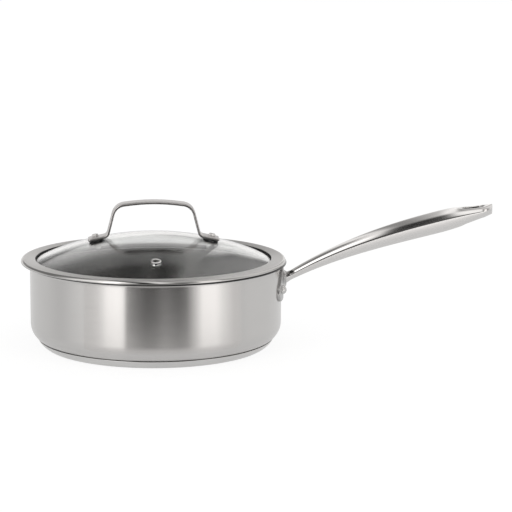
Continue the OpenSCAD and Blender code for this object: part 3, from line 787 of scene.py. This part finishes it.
# Rings round the boss's middle, from the back of the plate over its rounded edge, across its face, up a
# hollow flare (a quarter ellipse) and over the boss's end. A ring of a radius and a height above the wall
# lies on a cylinder of the wall's radius plus that height. The rings of the boss's end are flat. Rings
# 0.1 to 0.2 mm beside an edge keep it crisp.
def bracketShell():
    b = bracket
    angles = np.linspace(-pi, pi, 240, endpoint=False)
    outer = polarRadius(plateOutline(), angles)
    inner = polarRadius(bossOutline(), angles)
    face = outer - b["edgeR"]
    flare = np.minimum(b["flareReach"], 0.95 * (face - inner))
    side = b["thick"] - b["edgeR"] - 0.1
    rings = [(outer * 0, 0), (outer * 0.5, 0), (outer - 0.2, 0), (outer, 0), (outer, 0.2), (outer, side)]
    rings += [(outer - b["edgeR"] * (1 - cos(g)), b["thick"] - b["edgeR"] * (1 - sin(g)))
              for g in np.radians(np.linspace(0, 90, 7))]
    rings += [(mix(face, inner + flare, t), b["thick"]) for t in (0.02, 0.2, 0.4, 0.6, 0.8, 0.97)]
    rings += [(inner + flare * (1 - sin(g)), b["thick"] + b["flareRise"] * (1 - cos(g)))
              for g in np.radians(np.linspace(0, 90, 10))]
    ends = [(inner - b["endR"] * (1 - cos(g)), seamX - b["endR"] * (1 - sin(g)))
            for g in np.radians((0, 30, 60, 90))]
    ends += [(inner * 0.8, seamX), (inner * 0, seamX)]
    rows = []
    for reach, lift in rings:
        y = reach * np.cos(angles)
        rows.append([np.sqrt((wallR + lift) ** 2 - y * y), y, reach * np.sin(angles)])
    for reach, x in ends:
        rows.append([np.full(len(angles), x), reach * np.cos(angles), reach * np.sin(angles)])
    points = np.array(rows).transpose(0, 2, 1) + [0, 0, handle["rootZ"]]
    return points.reshape(-1, 3), gridFaces(len(rows), len(angles), False, True)


# Half section of a rivet along its own axis: domed outer head, shank and flat-domed inner head. A dome of
# height h and half width w is part of a ball of radius (w squared plus h squared) / 2h.
def rivetShell():
    r = rivet
    half, shank = r["headD"] / 2, r["shankD"] / 2
    outZ = wallR + bracket["thick"]
    inZ = pan["boreR"] - r["seat"]
    ballOut, ballIn = ((half ** 2 + high ** 2) / (2 * high) for high in (r["dome"], r["inner"]))
    openOut, openIn = (degrees(asin(half / ball)) for ball in (ballOut, ballIn))
    top = arc(0, outZ + r["dome"] - ballOut, ballOut, 90, 90 - openOut, 14)
    low = arc(0, inZ - r["inner"] + ballIn, ballIn, -90 + openIn, -90, 10)
    return polarStack([(z, x) for x, z in np.concatenate([top, [[shank, outZ], [shank, inZ]], low])], 64)


# The plate, and the two rivets as one piece, each turned round the pan's axis by half their span.
def makeBracket():
    steel = polishedSteel("bracketSteel", finish["bracketColour"], finish["bracketRough"], lines=0.5)
    made = meshObject("handleBracket", bracketShell())
    finishPiece(made, "pan", steel, ["handle_bracket"])
    bright = polishedSteel("rivetSteel", finish["smallSteel"], finish["smallRough"])
    turn = degrees(asin(rivet["span"] / 2 / wallR))
    out = moved(0, 0, rivet["z"]) @ turned(90, "Y")
    shells = [place(rivetShell(), turned(side * turn, "Z") @ out) for side in (-1, 1)]
    finishPiece(meshObject("handleRivets", joined(shells)), "pan", bright, ["handle_rivets"])


makeBracket()
print("bracket and rivets made")

# Lid: shared places
lid = {"shift": 2.3, "turn": 5.4, "ringOver": 1.45, "ringW": 13.7, "rise": 3.3, "sheet": 0.7,
       "skirtDrop": 5.8, "skirtSlack": 2.8, "skirtBend": 0.8, "domeR": 278, "glass": 4, "glassEdge": 0.6,
       "tuck": 1.7, "sealBack": 0.3, "sealEdge": 0.25, "sink": 1.5}
lipR = wallR + pan["lipReach"]
ringR = lipR + lid["ringOver"]
openR = ringR - lid["ringW"]
ringTop = pan["height"] + lid["rise"]
skirtR = pan["boreR"] - lid["skirtSlack"]
skirtZ = pan["height"] - lid["skirtDrop"]
glassR = openR + lid["tuck"]
sealR = openR + lid["sealBack"]
domeZ = ringTop - lid["sheet"] - lid["sink"] - sqrt(lid["domeR"] ** 2 - openR ** 2)
onPan = moved(-lid["shift"]) @ turned(lid["turn"], "Z")


# Height of a ball round the dome's centre, at a distance from the axis.
def ballZ(radius, reach):
    return domeZ + np.sqrt(radius ** 2 - np.asarray(reach, float) ** 2)


# Points on that ball for a row of distances.
def ballLine(radius, reach):
    return np.stack([reach, ballZ(radius, reach)], 1)


# Frame on the outside of the glass, tilted off the lid's axis, with z out of the dome.
def onDome(tilt, axis):
    return onPan @ moved(0, 0, domeZ) @ turned(tilt, axis) @ moved(0, 0, lid["domeR"])


# A pad's edge is (inset, height) for each level up to its side.
grip = {"screwR": 55.3, "strapW": 18, "strapT": 2.65, "top": 32.7, "archR": 185, "archTurn": 7,
        "footIn": 11.7, "footOut": 7.4, "lean": 14.5, "footBend": 5.5, "shoulderBend": 12.4,
        "edgeR": 1.15, "endR": 2.4,
        "padT": 0.9, "padMargin": 0.8, "padR": 3.6, "padEdge": [(0.25, 0), (0.07, 0.08), (0, 0.25)]}
screw = {"d": 4, "slack": 0.4, "thread": 5, "endBevel": 0.3, "seat": 0.1, "holeD": 7,
         "headD": 6.6, "headH": 2.6, "headEdge": 0.15, "crown": 0.9, "crownEnd": 0.68,
         "flutes": 8, "fluteDepth": 0.5, "fluteEnd": 0.35,
         "gasketD": 14, "gasketT": 1, "gasketEdge": 0.3, "washerD": 12, "washerT": 0.8, "washerEdge": 0.2,
         "nutFlats": 7, "nutHex": 3.2, "nutBevel": 0.4, "nutStep": 0.2, "nutFaceR": 3.7, "nutTopR": 3.6,
         "skin": 1.2}
vent = {"r": 82, "bore": 5.6, "wall": 0.6, "flangeD": 9.8, "flangeT": 0.9, "gasketT": 0.6, "slack": 0.2}
gripTilt = degrees(asin(grip["screwR"] / lid["domeR"]))
ventTilt = degrees(asin(vent["r"] / lid["domeR"]))
footTop = grip["padT"] + grip["strapT"]
holeR = (screw["d"] + screw["slack"]) / 2
gasketZ = -lid["glass"] - screw["seat"]
washerZ = gasketZ - screw["gasketT"]
nutZ = washerZ - screw["washerT"]


# The ring's folded sheet: flat top, round roll, hem on the lip, skirt inside the pan and a small flange.
# The attribute "polish" marks the roll.
def makeRing():
    t = lid["sheet"]
    topZ = ringTop - t / 2
    hemZ = pan["height"] + t / 2
    skirtX = skirtR - t / 2
    path = roundPath([
        (openR + t / 2, topZ, 0), (ringR - t / 2, topZ, lid["rise"] - 1.5 * t), (ringR - t / 2, hemZ, t / 2),
        (skirtX, hemZ, lid["skirtBend"]), (skirtX, skirtZ + t / 2, t / 2),
        (sealR + t / 2, skirtZ + t / 2, 0)], closed=False, stepDeg=7)
    outline = sheetOutline(path, t)
    polish = (outline[:, 0] > ringR - lid["rise"] + t + 0.05).astype(float)
    shell = place(revolve(outline, roundSteps), onPan)
    made = meshObject("lidRing", shell, {"polish": np.tile(polish, roundSteps)})
    finishPiece(made, "lid", ringSteel(-lid["shift"], 0), ["lid_ring"])


# The seal fills the room between the ring, its skirt and the glass's edge, less the glass itself.
def makeSeal(black):
    t, edge = lid["sheet"], lid["sealEdge"]
    back = skirtR - t
    reach = np.linspace(glassR, sealR, 5)
    over = ballLine(lid["domeR"], reach)
    front = arc(sealR + edge, ringTop - t - edge, edge, 180, 90, 4)
    behind = [[back, ringTop - t], [back, skirtZ + 2 * t], [back - t, skirtZ + t], [sealR, skirtZ + t]]
    under = ballLine(lid["domeR"] - lid["glass"], reach[::-1])
    made = meshObject("lidSeal", place(revolve(np.concatenate([over, front, behind, under])), onPan))
    finishPiece(made, "lid", black, ["lid_seal"])


# The dome: outer ball, rounded edge and inner ball, cut by the screw holes and the vent hole.
def makeGlass():
    outR, inR, edge = lid["domeR"], lid["domeR"] - lid["glass"], lid["glassEdge"]
    reach = (glassR - edge) * np.linspace(0, 1, 80)
    high = arc(glassR - edge, float(ballZ(outR, glassR)) - edge, edge, 62, 0, 5)
    low = arc(glassR - edge, float(ballZ(inR, glassR)) + edge, edge, 0, -90, 6)[:-1]
    profile = np.concatenate([ballLine(outR, reach), high, low, ballLine(inR, reach[::-1])])
    made = meshObject("glassDome", place(revolve(profile, 288, closed=False), onPan))
    tubeR = vent["bore"] / 2 + vent["wall"] + vent["slack"]
    holes = [(screw["holeD"] / 2, side * gripTilt, "Y") for side in (-1, 1)] + [(tubeR, ventTilt, "X")]
    cutters = []
    for r, tilt, axis in holes:
        levels = [(-2 * lid["glass"], 0), (-2 * lid["glass"], r), (lid["glass"], r), (lid["glass"], 0)]
        cutters.append(place(polarStack(levels, 48), onDome(tilt, axis)))
    cutOut(made, cutters)
    finishPiece(made, "lid", clearGlass(), ["lid_glass"], sharp=30)


# Middle line of the strap from one foot's end to the other: foot, bend, leaning leg, bend and wide arch.
def strapPath():
    g = grip
    tilt, lean = radians(gripTilt), radians(g["lean"])
    footDir = np.array([cos(tilt), -sin(tilt)])
    footR = lid["domeR"] + g["padT"] + g["strapT"] / 2
    foot = np.array([0, domeZ]) + footR * np.array([sin(tilt), cos(tilt)])
    footEnd = foot + g["footOut"] * footDir
    legFoot = foot - g["footIn"] * footDir
    legDir = np.array([-sin(lean), cos(lean)])
    archZ = domeZ + lid["domeR"] + g["top"] - g["strapT"] / 2 - g["archR"]
    turn = radians(g["archTurn"])
    archEnd = np.array([0, archZ]) + g["archR"] * np.array([sin(turn), cos(turn)])
    run = np.linalg.solve(np.column_stack([legDir, -np.array([cos(turn), -sin(turn)])]), archEnd - legFoot)[0]
    shoulder = legFoot + legDir * run
    corners = [(*footEnd, 0), (*legFoot, g["footBend"]), (*shoulder, g["shoulderBend"]), (*archEnd, 0)]
    half = roundPath(corners, closed=False, stepDeg=5)
    top = arc(0, archZ, g["archR"], 90 - g["archTurn"], 90, 14)[1:]
    right = np.concatenate([half, top])
    return np.concatenate([right, right[-2::-1] * [-1, 1]])


# Sweeps a rounded rectangle along the strap's path. Near each end the half width shrinks along a
# quarter circle in plan, and the thickness along a small quarter circle.
def strapShell():
    g = grip
    path = strapPath()
    run = runAlong(path)
    total = run[-1]
    near = g["endR"] * (1 - np.cos(np.radians(np.linspace(0, 90, 15))))
    tiny = g["edgeR"] * (1 - np.cos(np.radians(np.linspace(0, 90, 7))))
    spots = np.concatenate([run, near, tiny, total - near, total - tiny, np.linspace(0, total, 90)])
    spots = np.unique(np.round(spots, 4))
    x, z = (np.interp(spots, run, path[:, i]) for i in (0, 1))
    ahead = np.stack([np.gradient(x, spots), np.gradient(z, spots)], 1)
    ahead /= np.linalg.norm(ahead, axis=1, keepdims=True)
    toEnd = np.minimum(spots, total - spots)[:, None]
    drawIn, flatten = (r * (1 - np.sqrt(1 - (1 - np.clip(toEnd / r, 0, 1)) ** 2))
                       for r in (g["endR"], g["edgeR"]))
    half, thin = g["strapW"] / 2, g["strapT"] / 2
    ring = roundBox(-half, -thin, half, thin, g["edgeR"])
    v, w = (np.sign(ring[:, i]) * np.maximum(np.abs(ring[:, i]) - less, 0)
            for i, less in ((0, drawIn), (1, flatten)))
    points = np.stack([x[:, None] - ahead[:, 1:] * w, v, z[:, None] + ahead[:, :1] * w], -1)
    grain = np.stack([np.broadcast_to(spots[:, None], w.shape), v, w], -1)
    ends = [np.broadcast_to(row.mean(0), (1,) + row.shape) for row in (points[0], points[-1])]
    points = np.concatenate([ends[0], points, ends[1]])
    grain = np.concatenate([grain[:1], grain, grain[-1:]])
    return (points.reshape(-1, 3), gridFaces(len(points), len(ring), False, True)), grain.reshape(-1, 3)


# Both copies of a small shell that stands on the glass at a screw, with z out of the dome.
def atScrews(shell):
    return joined([place(shell, onDome(side * gripTilt, "Y")) for side in (-1, 1)])


# Fluted head with a crowned top, a shank under it, all about the screw's own axis. Over the crown the
# flutes fade and the head draws in, both with the cosine of the crown's angle.
def screwShell():
    s = screw
    angles = np.linspace(0, 2 * pi, 96, endpoint=False)
    flute = s["fluteDepth"] * (0.5 + 0.5 * np.cos(s["flutes"] * angles)) ** 1.5
    full, shank = s["headD"] / 2, s["d"] / 2
    endZ, topZ = nutZ - s["thread"], footTop + s["headH"]
    levels = [(endZ, 0), (endZ, shank - s["endBevel"]), (endZ + s["endBevel"], shank), (footTop, shank),
              (footTop, full - s["headEdge"] - flute), (footTop + s["headEdge"], full - flute),
              (topZ - s["crown"], full - flute)]
    for g in np.radians((20, 40, 60, 80)):
        reach = (full - flute * mix(s["fluteEnd"], 1, cos(g))) * mix(s["crownEnd"], 1, cos(g))
        levels.append((topZ - s["crown"] * (1 - sin(g)), reach))
    return polarStack(levels + [(topZ, 0)])


# Plain tube of revolution with small rounded edges.
def tubeShell(outer, inner, low, high, edge=0.12, count=64):
    return revolve(roundBox(inner, low, outer, high, edge, stepDeg=30, guard=0.05), count)


# Cap nut hanging under the washer: a hexagon (half its flats over the cosine of the angle from a flat's
# middle) with chamfered corners, which turns into a round dome.
def nutShell():
    s = screw
    angles = np.linspace(0, 2 * pi, 96, endpoint=False)
    hexR = s["nutFlats"] / 2 / np.cos((angles + pi / 6) % (pi / 3) - pi / 6)
    roundR = s["nutFlats"] / 2 - s["nutStep"]
    bodyEnd = s["thread"] + s["skin"] - roundR / 2
    levels = [(0, 0), (0, np.minimum(hexR, s["nutFaceR"])), (s["nutBevel"], hexR),
              (s["nutHex"] - s["nutBevel"], hexR), (s["nutHex"], np.minimum(hexR, s["nutTopR"])),
              (s["nutHex"], roundR), (bodyEnd, roundR)]
    levels += [(bodyEnd + roundR / 2 * sin(g), roundR * cos(g)) for g in np.radians((15, 30, 45, 60, 75))]
    return place(polarStack(levels + [(bodyEnd + roundR / 2, 0)]), moved(0, 0, nutZ) @ turned(180, "X"))


# The strap, with faint marks along it.
def makeGrip():
    shell, grain = strapShell()
    steel = polishedSteel("gripSteel", finish["gripColour"], finish["gripRough"], lines=0.5, along=True)
    made = meshObject("lidGrip", place(shell, onPan), {"grain": grain})
    finishPiece(made, "lid", steel, ["lid_grip"])


# The small pieces at both screws. A pad is a slab under the strap's foot, as long as the flat part of the
# foot less a margin, and the other pieces are stacked on the screw's axis.
def makeFittings(black):
    g, s = grip, screw
    bright = polishedSteel("screwSteel", finish["smallSteel"], finish["smallRough"])
    long = (g["footIn"] + g["footOut"] - 2 * g["padMargin"] - g["footBend"] / 2) / 2
    deep = (g["strapW"] - 2 * g["padMargin"]) / 2
    levels = g["padEdge"] + [(inset, g["padT"] - z) for inset, z in g["padEdge"][::-1]]
    pad = slab(roundBox(-long, -deep, long, deep, g["padR"]), levels)
    padX = g["footOut"] - g["padMargin"] - long
    pads = joined([place(place(pad, moved(side * padX)), onDome(side * gripTilt, "Y")) for side in (-1, 1)])
    sleeve = tubeShell(s["holeD"] / 2 - s["seat"], holeR, s["seat"] - lid["glass"], -s["seat"])
    gasket = tubeShell(s["gasketD"] / 2, holeR, washerZ, gasketZ, s["gasketEdge"])
    washer = tubeShell(s["washerD"] / 2, holeR, nutZ, washerZ, s["washerEdge"])
    for name, shell, slot, material, node in (
            ("gripScrews", atScrews(screwShell()), "screw_steel", bright, "grip_screws"),
            ("gripPads", pads, "black_silicone", black, "grip_pads"),
            ("holeSleeves", atScrews(sleeve), "sleeve_plastic", mouldedPlastic(), "hole_sleeves"),
            ("innerGaskets", atScrews(gasket), "black_silicone", black, "inner_gaskets"),
            ("innerWashers", atScrews(washer), "screw_steel", bright, "inner_washers"),
            ("capNuts", atScrews(nutShell()), "screw_steel", bright, "cap_nuts")):
        finishPiece(meshObject(name, shell), "lid", material, [node])


# Eyelet: rolled upper flange, tube through the glass and flat lower flange, with a bore right through.
# Corners are (radius, height, rounding). A gasket lies under the upper flange.
def makeVent(black):
    v = vent
    bore, tubeR, flange = v["bore"] / 2, v["bore"] / 2 + v["wall"], v["flangeD"] / 2
    low = -lid["glass"] - v["flangeT"] - screw["seat"]
    inner, under, top = low + v["flangeT"], v["gasketT"], v["gasketT"] + v["flangeT"]
    outline = roundPath([
        (bore, low, 0.25), (flange, low, 0.3), (flange, inner, 0.3), (tubeR, inner, 0), (tubeR, under, 0),
        (flange, under, 0.15), (flange - 0.1, top - 0.35, 0.2), (flange - 1.0, top, 0.6), (bore, top, 0.55)],
        stepDeg=15, guard=0.05)
    bright = polishedSteel("ventSteel", finish["ventColour"], finish["ventRough"])
    eyelet = place(revolve(outline, 96), onDome(ventTilt, "X"))
    finishPiece(meshObject("ventEyelet", eyelet), "lid", bright, ["vent_eyelet"])
    ring = place(tubeShell(flange, tubeR + v["slack"], 0, under, 0.15, 96), onDome(ventTilt, "X"))
    finishPiece(meshObject("ventGasket", ring), "lid", black, ["vent_gasket"])


silicone = blackSilicone()
makeRing()
makeSeal(silicone)
makeGlass()
print("ring, seal and glass made")
makeGrip()
makeFittings(silicone)
makeVent(silicone)
print("grip, fittings and vent made")

# Studio, in metres, with brightness beside white. Bearings are degrees to the right of the camera, seen
# from the pan. Boxes are (bearing, spread, distance, height, foot, brightness). The sky is striped:
# skyFront and skyBack are (place across its stripes, brightness). Hood is (height, brightness), and it
# stands hoodBack behind the pan's middle. Apron is (angle round the wall, brightness).
studio = {"seen": 1.0, "fill": 0.75, "floorGlow": 0.61, "floorColour": 0.26, "floorLit": 0.7, "floorHalf": 12,
          "boxes": [(-37.5, 17, 1.7, 2.2, 0.0, 1.0), (48, 20, 1.7, 1.8, 0.0, 1.0)],
          "boxColour": (1, 0.95, 0.93), "clothColour": (1, 0.985, 0.975),
          "skyR": 5.0, "stripeWay": (1, 0.08, 0.27), "frontAhead": (-0.2, 0.5),
          "lowGlow": 0.1, "lowRise": (9, 18), "lowLeft": (-26, -18), "lowRight": (26, 34),
          "backRise": (6, 16), "backAhead": (-0.5, 0),
          "skyFront": [(-0.15, 1.6), (-0.085, 1.3), (-0.06, 1.0), (-0.04, 0.25), (-0.015, 0.07), (0.03, 0.03),
                       (0.1, 0.05), (0.15, 0.09), (0.175, 0.15), (0.195, 0.35), (0.215, 0.6), (0.25, 1.35),
                       (0.32, 1.35), (0.4, 0.9), (0.5, 0.5), (0.6, 0.45)],
          "skyBack": [(-0.3, 0.27), (-0.22, 0.36), (-0.16, 0.5), (-0.125, 0.95), (-0.075, 1.15),
                      (-0.045, 1.0), (-0.015, 0.45), (0.02, 0.3), (0.06, 0.38), (0.105, 0.6), (0.15, 1.05),
                      (0.175, 1.3), (0.235, 1.2), (0.262, 0.35), (0.3, 0.5), (0.38, 0.75), (0.6, 1.0)],
          "hood": [(0.132, 0.9), (0.15, 1.05), (0.18, 0.85), (0.205, 0.55), (0.225, 0.4), (0.28, 0.3),
                   (0.32, 0.06), (0.36, 0.03), (0.46, 0.03)],
          "hoodLeft": (-0.2, -0.11), "hoodRight": (0.04, 0.08), "hoodSides": (0.4, 0.55), "hoodBack": 0.12,
          "apron": [(-34, 0.78), (-30, 0.8), (-27, 0.92), (-22, 1.4), (-17, 1.5), (-14.6, 1.4), (-13.2, 0.2),
                    (-9, 0.11), (0, 0.07), (10, 0.06), (13.5, 0.2), (16.5, 0.75), (21, 1.6), (27, 1.65),
                    (32, 1.32), (37, 0.93), (41, 0.88)],
          "apronNear": 0.01, "apronFar": 0.62, "apronLow": 0.002, "apronLip": 0.12, "apronFade": (0.0, 0.2),
          "apronWhite": 0.78}


# Direction on the floor for a bearing: the camera's own direction from the pan, turned by the bearing.
def bearing(angle):
    a = radians(camera["panTurn"] - 90 + angle)
    return Vector((cos(a), sin(a), 0))


# Strength of a glow for each kind of ray: one for the camera, one for reflections and things behind
# glass, and one for the rest.
def seenRays(tree, direct, mirrored, other=0.0):
    path = addNode(tree, "LightPath").outputs
    away = maths(tree, "MAXIMUM", path["Is Glossy Ray"], path["Is Transmission Ray"])
    return blended(tree, path["Is Camera Ray"], ranged(tree, away, other, mirrored), direct)


# White surroundings for the camera, metal and glass, and a softer fill for plain surfaces.
def makeWorld():
    world = bpy.data.worlds.new("whiteStudio")
    bpy.context.scene.world = world
    world.use_nodes = True
    tree = world.node_tree
    strength = seenRays(tree, studio["seen"], studio["seen"], studio["fill"])
    wire(tree, tree.nodes["Background"], {"Color": (1, 1, 1, 1), "Strength": strength})


# White floor just under the pan: a glow for the camera, metal and glass under a pale surface that takes
# the shadow. The glow for the camera is white less what the surface sends back of the fill.
def makeFloor():
    half, low = studio["floorHalf"], -0.2 * mm
    mesh = bpy.data.meshes.new("floor")
    corners = [(-half, -half, low), (half, -half, low), (half, half, low), (-half, half, low)]
    mesh.from_pydata(corners, [], [(0, 1, 2, 3)])
    material, tree, shader = newMaterial("whiteFloor")
    shade = studio["floorColour"]
    glow = seenRays(tree, studio["seen"] - shade * studio["floorLit"], studio["floorGlow"])
    wire(tree, shader, {"Base Color": (shade, shade, shade, 1), "Roughness": 1.0, "Specular IOR Level": 0.0,
                        "Emission Color": (1, 1, 1, 1), "Emission Strength": glow})
    mesh.materials.append(material)
    linked("floor", mesh)


# Upright light: bearing, width in degrees, distance, height, foot height and brightness beside white.
def makeBox(name, angle, spread, away, high, foot, level):
    wide = 2 * away * tan(radians(spread / 2))
    data = bpy.data.lights.new(name, "AREA")
    data.shape = "RECTANGLE"
    data.size = wide
    data.size_y = high
    data.energy = level * pi * wide * high
    data.color = studio["boxColour"]
    light = linked(name, data)
    way = bearing(angle)
    light.location = way * away + Vector((0, 0, foot + high / 2))
    light.rotation_mode = "QUATERNION"
    light.rotation_quaternion = way.to_track_quat("Z", "Y")
    light.visible_camera = False


# A surface round the pan that only metal and glass reflect. Its brightness is an attribute of its points.
def makeScreen(name, points, glow):
    mesh = bpy.data.meshes.new(name)
    mesh.from_pydata(points.reshape(-1, 3).tolist(), [], gridFaces(*glow.shape, False, False).tolist())
    pointValues(mesh, "glow", glow.ravel())
    material, tree, shader = newMaterial(name + "Cloth")
    wire(tree, shader, {"Base Color": (0, 0, 0, 1), "Specular IOR Level": 0.0,
                        "Emission Color": (*studio["clothColour"], 1),
                        "Emission Strength": carried(tree, "glow")})
    mesh.materials.append(material)
    screen = linked(name, mesh)
    screen.visible_camera = False
    screen.visible_diffuse = False
    screen.visible_shadow = False


# Smooth step from 0 at a to 1 at b.
def ease(a, b, value):
    t = np.clip((value - a) / (b - a), 0, 1)
    return t * t * (3 - 2 * t)


# Sky in stripes. A direction's place across them is its part along stripeWay (right, towards the camera, up).
# Low in front it is darker, and low behind it is white. Each change is a smooth step between two limits.
def makeSky():
    s = studio
    turn = np.linspace(-180, 180, 181)[None, :]
    rise = np.linspace(-1, 90, 92)[:, None]
    around, up = np.radians(turn), np.radians(rise)
    right = np.cos(up) * np.sin(around)
    ahead = np.cos(up) * np.cos(around)
    high = np.sin(up) + 0 * around
    across = right * s["stripeWay"][0] + ahead * s["stripeWay"][1] + high * s["stripeWay"][2]
    front, back = np.array(s["skyFront"]).T, np.array(s["skyBack"]).T
    glow = mix(np.interp(across, *back), np.interp(across, *front), ease(*s["frontAhead"], ahead))
    low = (1 - ease(*s["lowRise"], rise)) * ease(*s["lowLeft"], turn) * (1 - ease(*s["lowRight"], turn))
    glow = mix(glow, s["lowGlow"], low)
    glow = mix(glow, 1.0, (1 - ease(*s["backRise"], rise)) * (1 - ease(*s["backAhead"], ahead)))
    facing = radians(camera["panTurn"] - 90)
    x = right * -sin(facing) + ahead * cos(facing)
    y = right * cos(facing) + ahead * sin(facing)
    makeScreen("sky", s["skyR"] * np.stack([x, y, high], -1), glow)


# Apron on the floor in front. From the wall's foot at angle a its columns run out along 2 a, where the wall
# mirrors them, so its bands stand upright on the wall. A low lip closes its far end.
def makeApron():
    s = studio
    stops = np.array(s["apron"], float).T
    a = np.linspace(stops[0][0], stops[0][-1], 140)[None, :]
    out = np.append(np.linspace(s["apronNear"], s["apronFar"], 14), s["apronFar"])[:, None]
    high = np.where(np.arange(len(out)) < len(out) - 1, s["apronLow"], s["apronLip"])[:, None]
    glow = mix(s["apronWhite"], np.interp(a, *stops), ease(*s["apronFade"], out))
    turn, foot = radians(camera["panTurn"] - 90), wallR * mm
    x = foot * np.cos(turn + np.radians(a)) + out * np.cos(turn + np.radians(2 * a))
    y = foot * np.sin(turn + np.radians(a)) + out * np.sin(turn + np.radians(2 * a))
    makeScreen("apron", np.stack([x, y, high + 0 * x], -1), glow)


# Hood behind the lid's grip: a bright strip that the top of the glass mirrors, under a dark cloth that its
# front mirrors. Points are (across to the right, back from the camera, up), and the brightness goes by
# height in the middle and is even at the left and right edges.
def makeHood():
    s = studio
    stops = np.array(s["hood"]).T
    left, right = s["hoodLeft"], s["hoodRight"]
    across = np.linspace(left[0], right[1], 30)[None, :]
    high = np.linspace(stops[0][0], stops[0][-1], 60)[:, None]
    middle = ease(*left, across) * (1 - ease(*right, across))
    glow = mix(np.where(across < 0, *s["hoodSides"]), np.interp(high, *stops), middle + 0 * high)
    turn = radians(camera["panTurn"])
    x = across * cos(turn) - s["hoodBack"] * sin(turn) + 0 * high
    y = across * sin(turn) + s["hoodBack"] * cos(turn) + 0 * high
    makeScreen("hood", np.stack([x, y, high + 0 * x], -1), glow)


makeWorld()
makeFloor()
for i, (angle, spread, away, high, foot, level) in enumerate(studio["boxes"]):
    makeBox("softBox" + str(i + 1), angle, spread, away, high, foot, level)
makeSky()
makeHood()
makeApron()
bpy.context.scene.view_settings.view_transform = "Standard"
print("studio made")
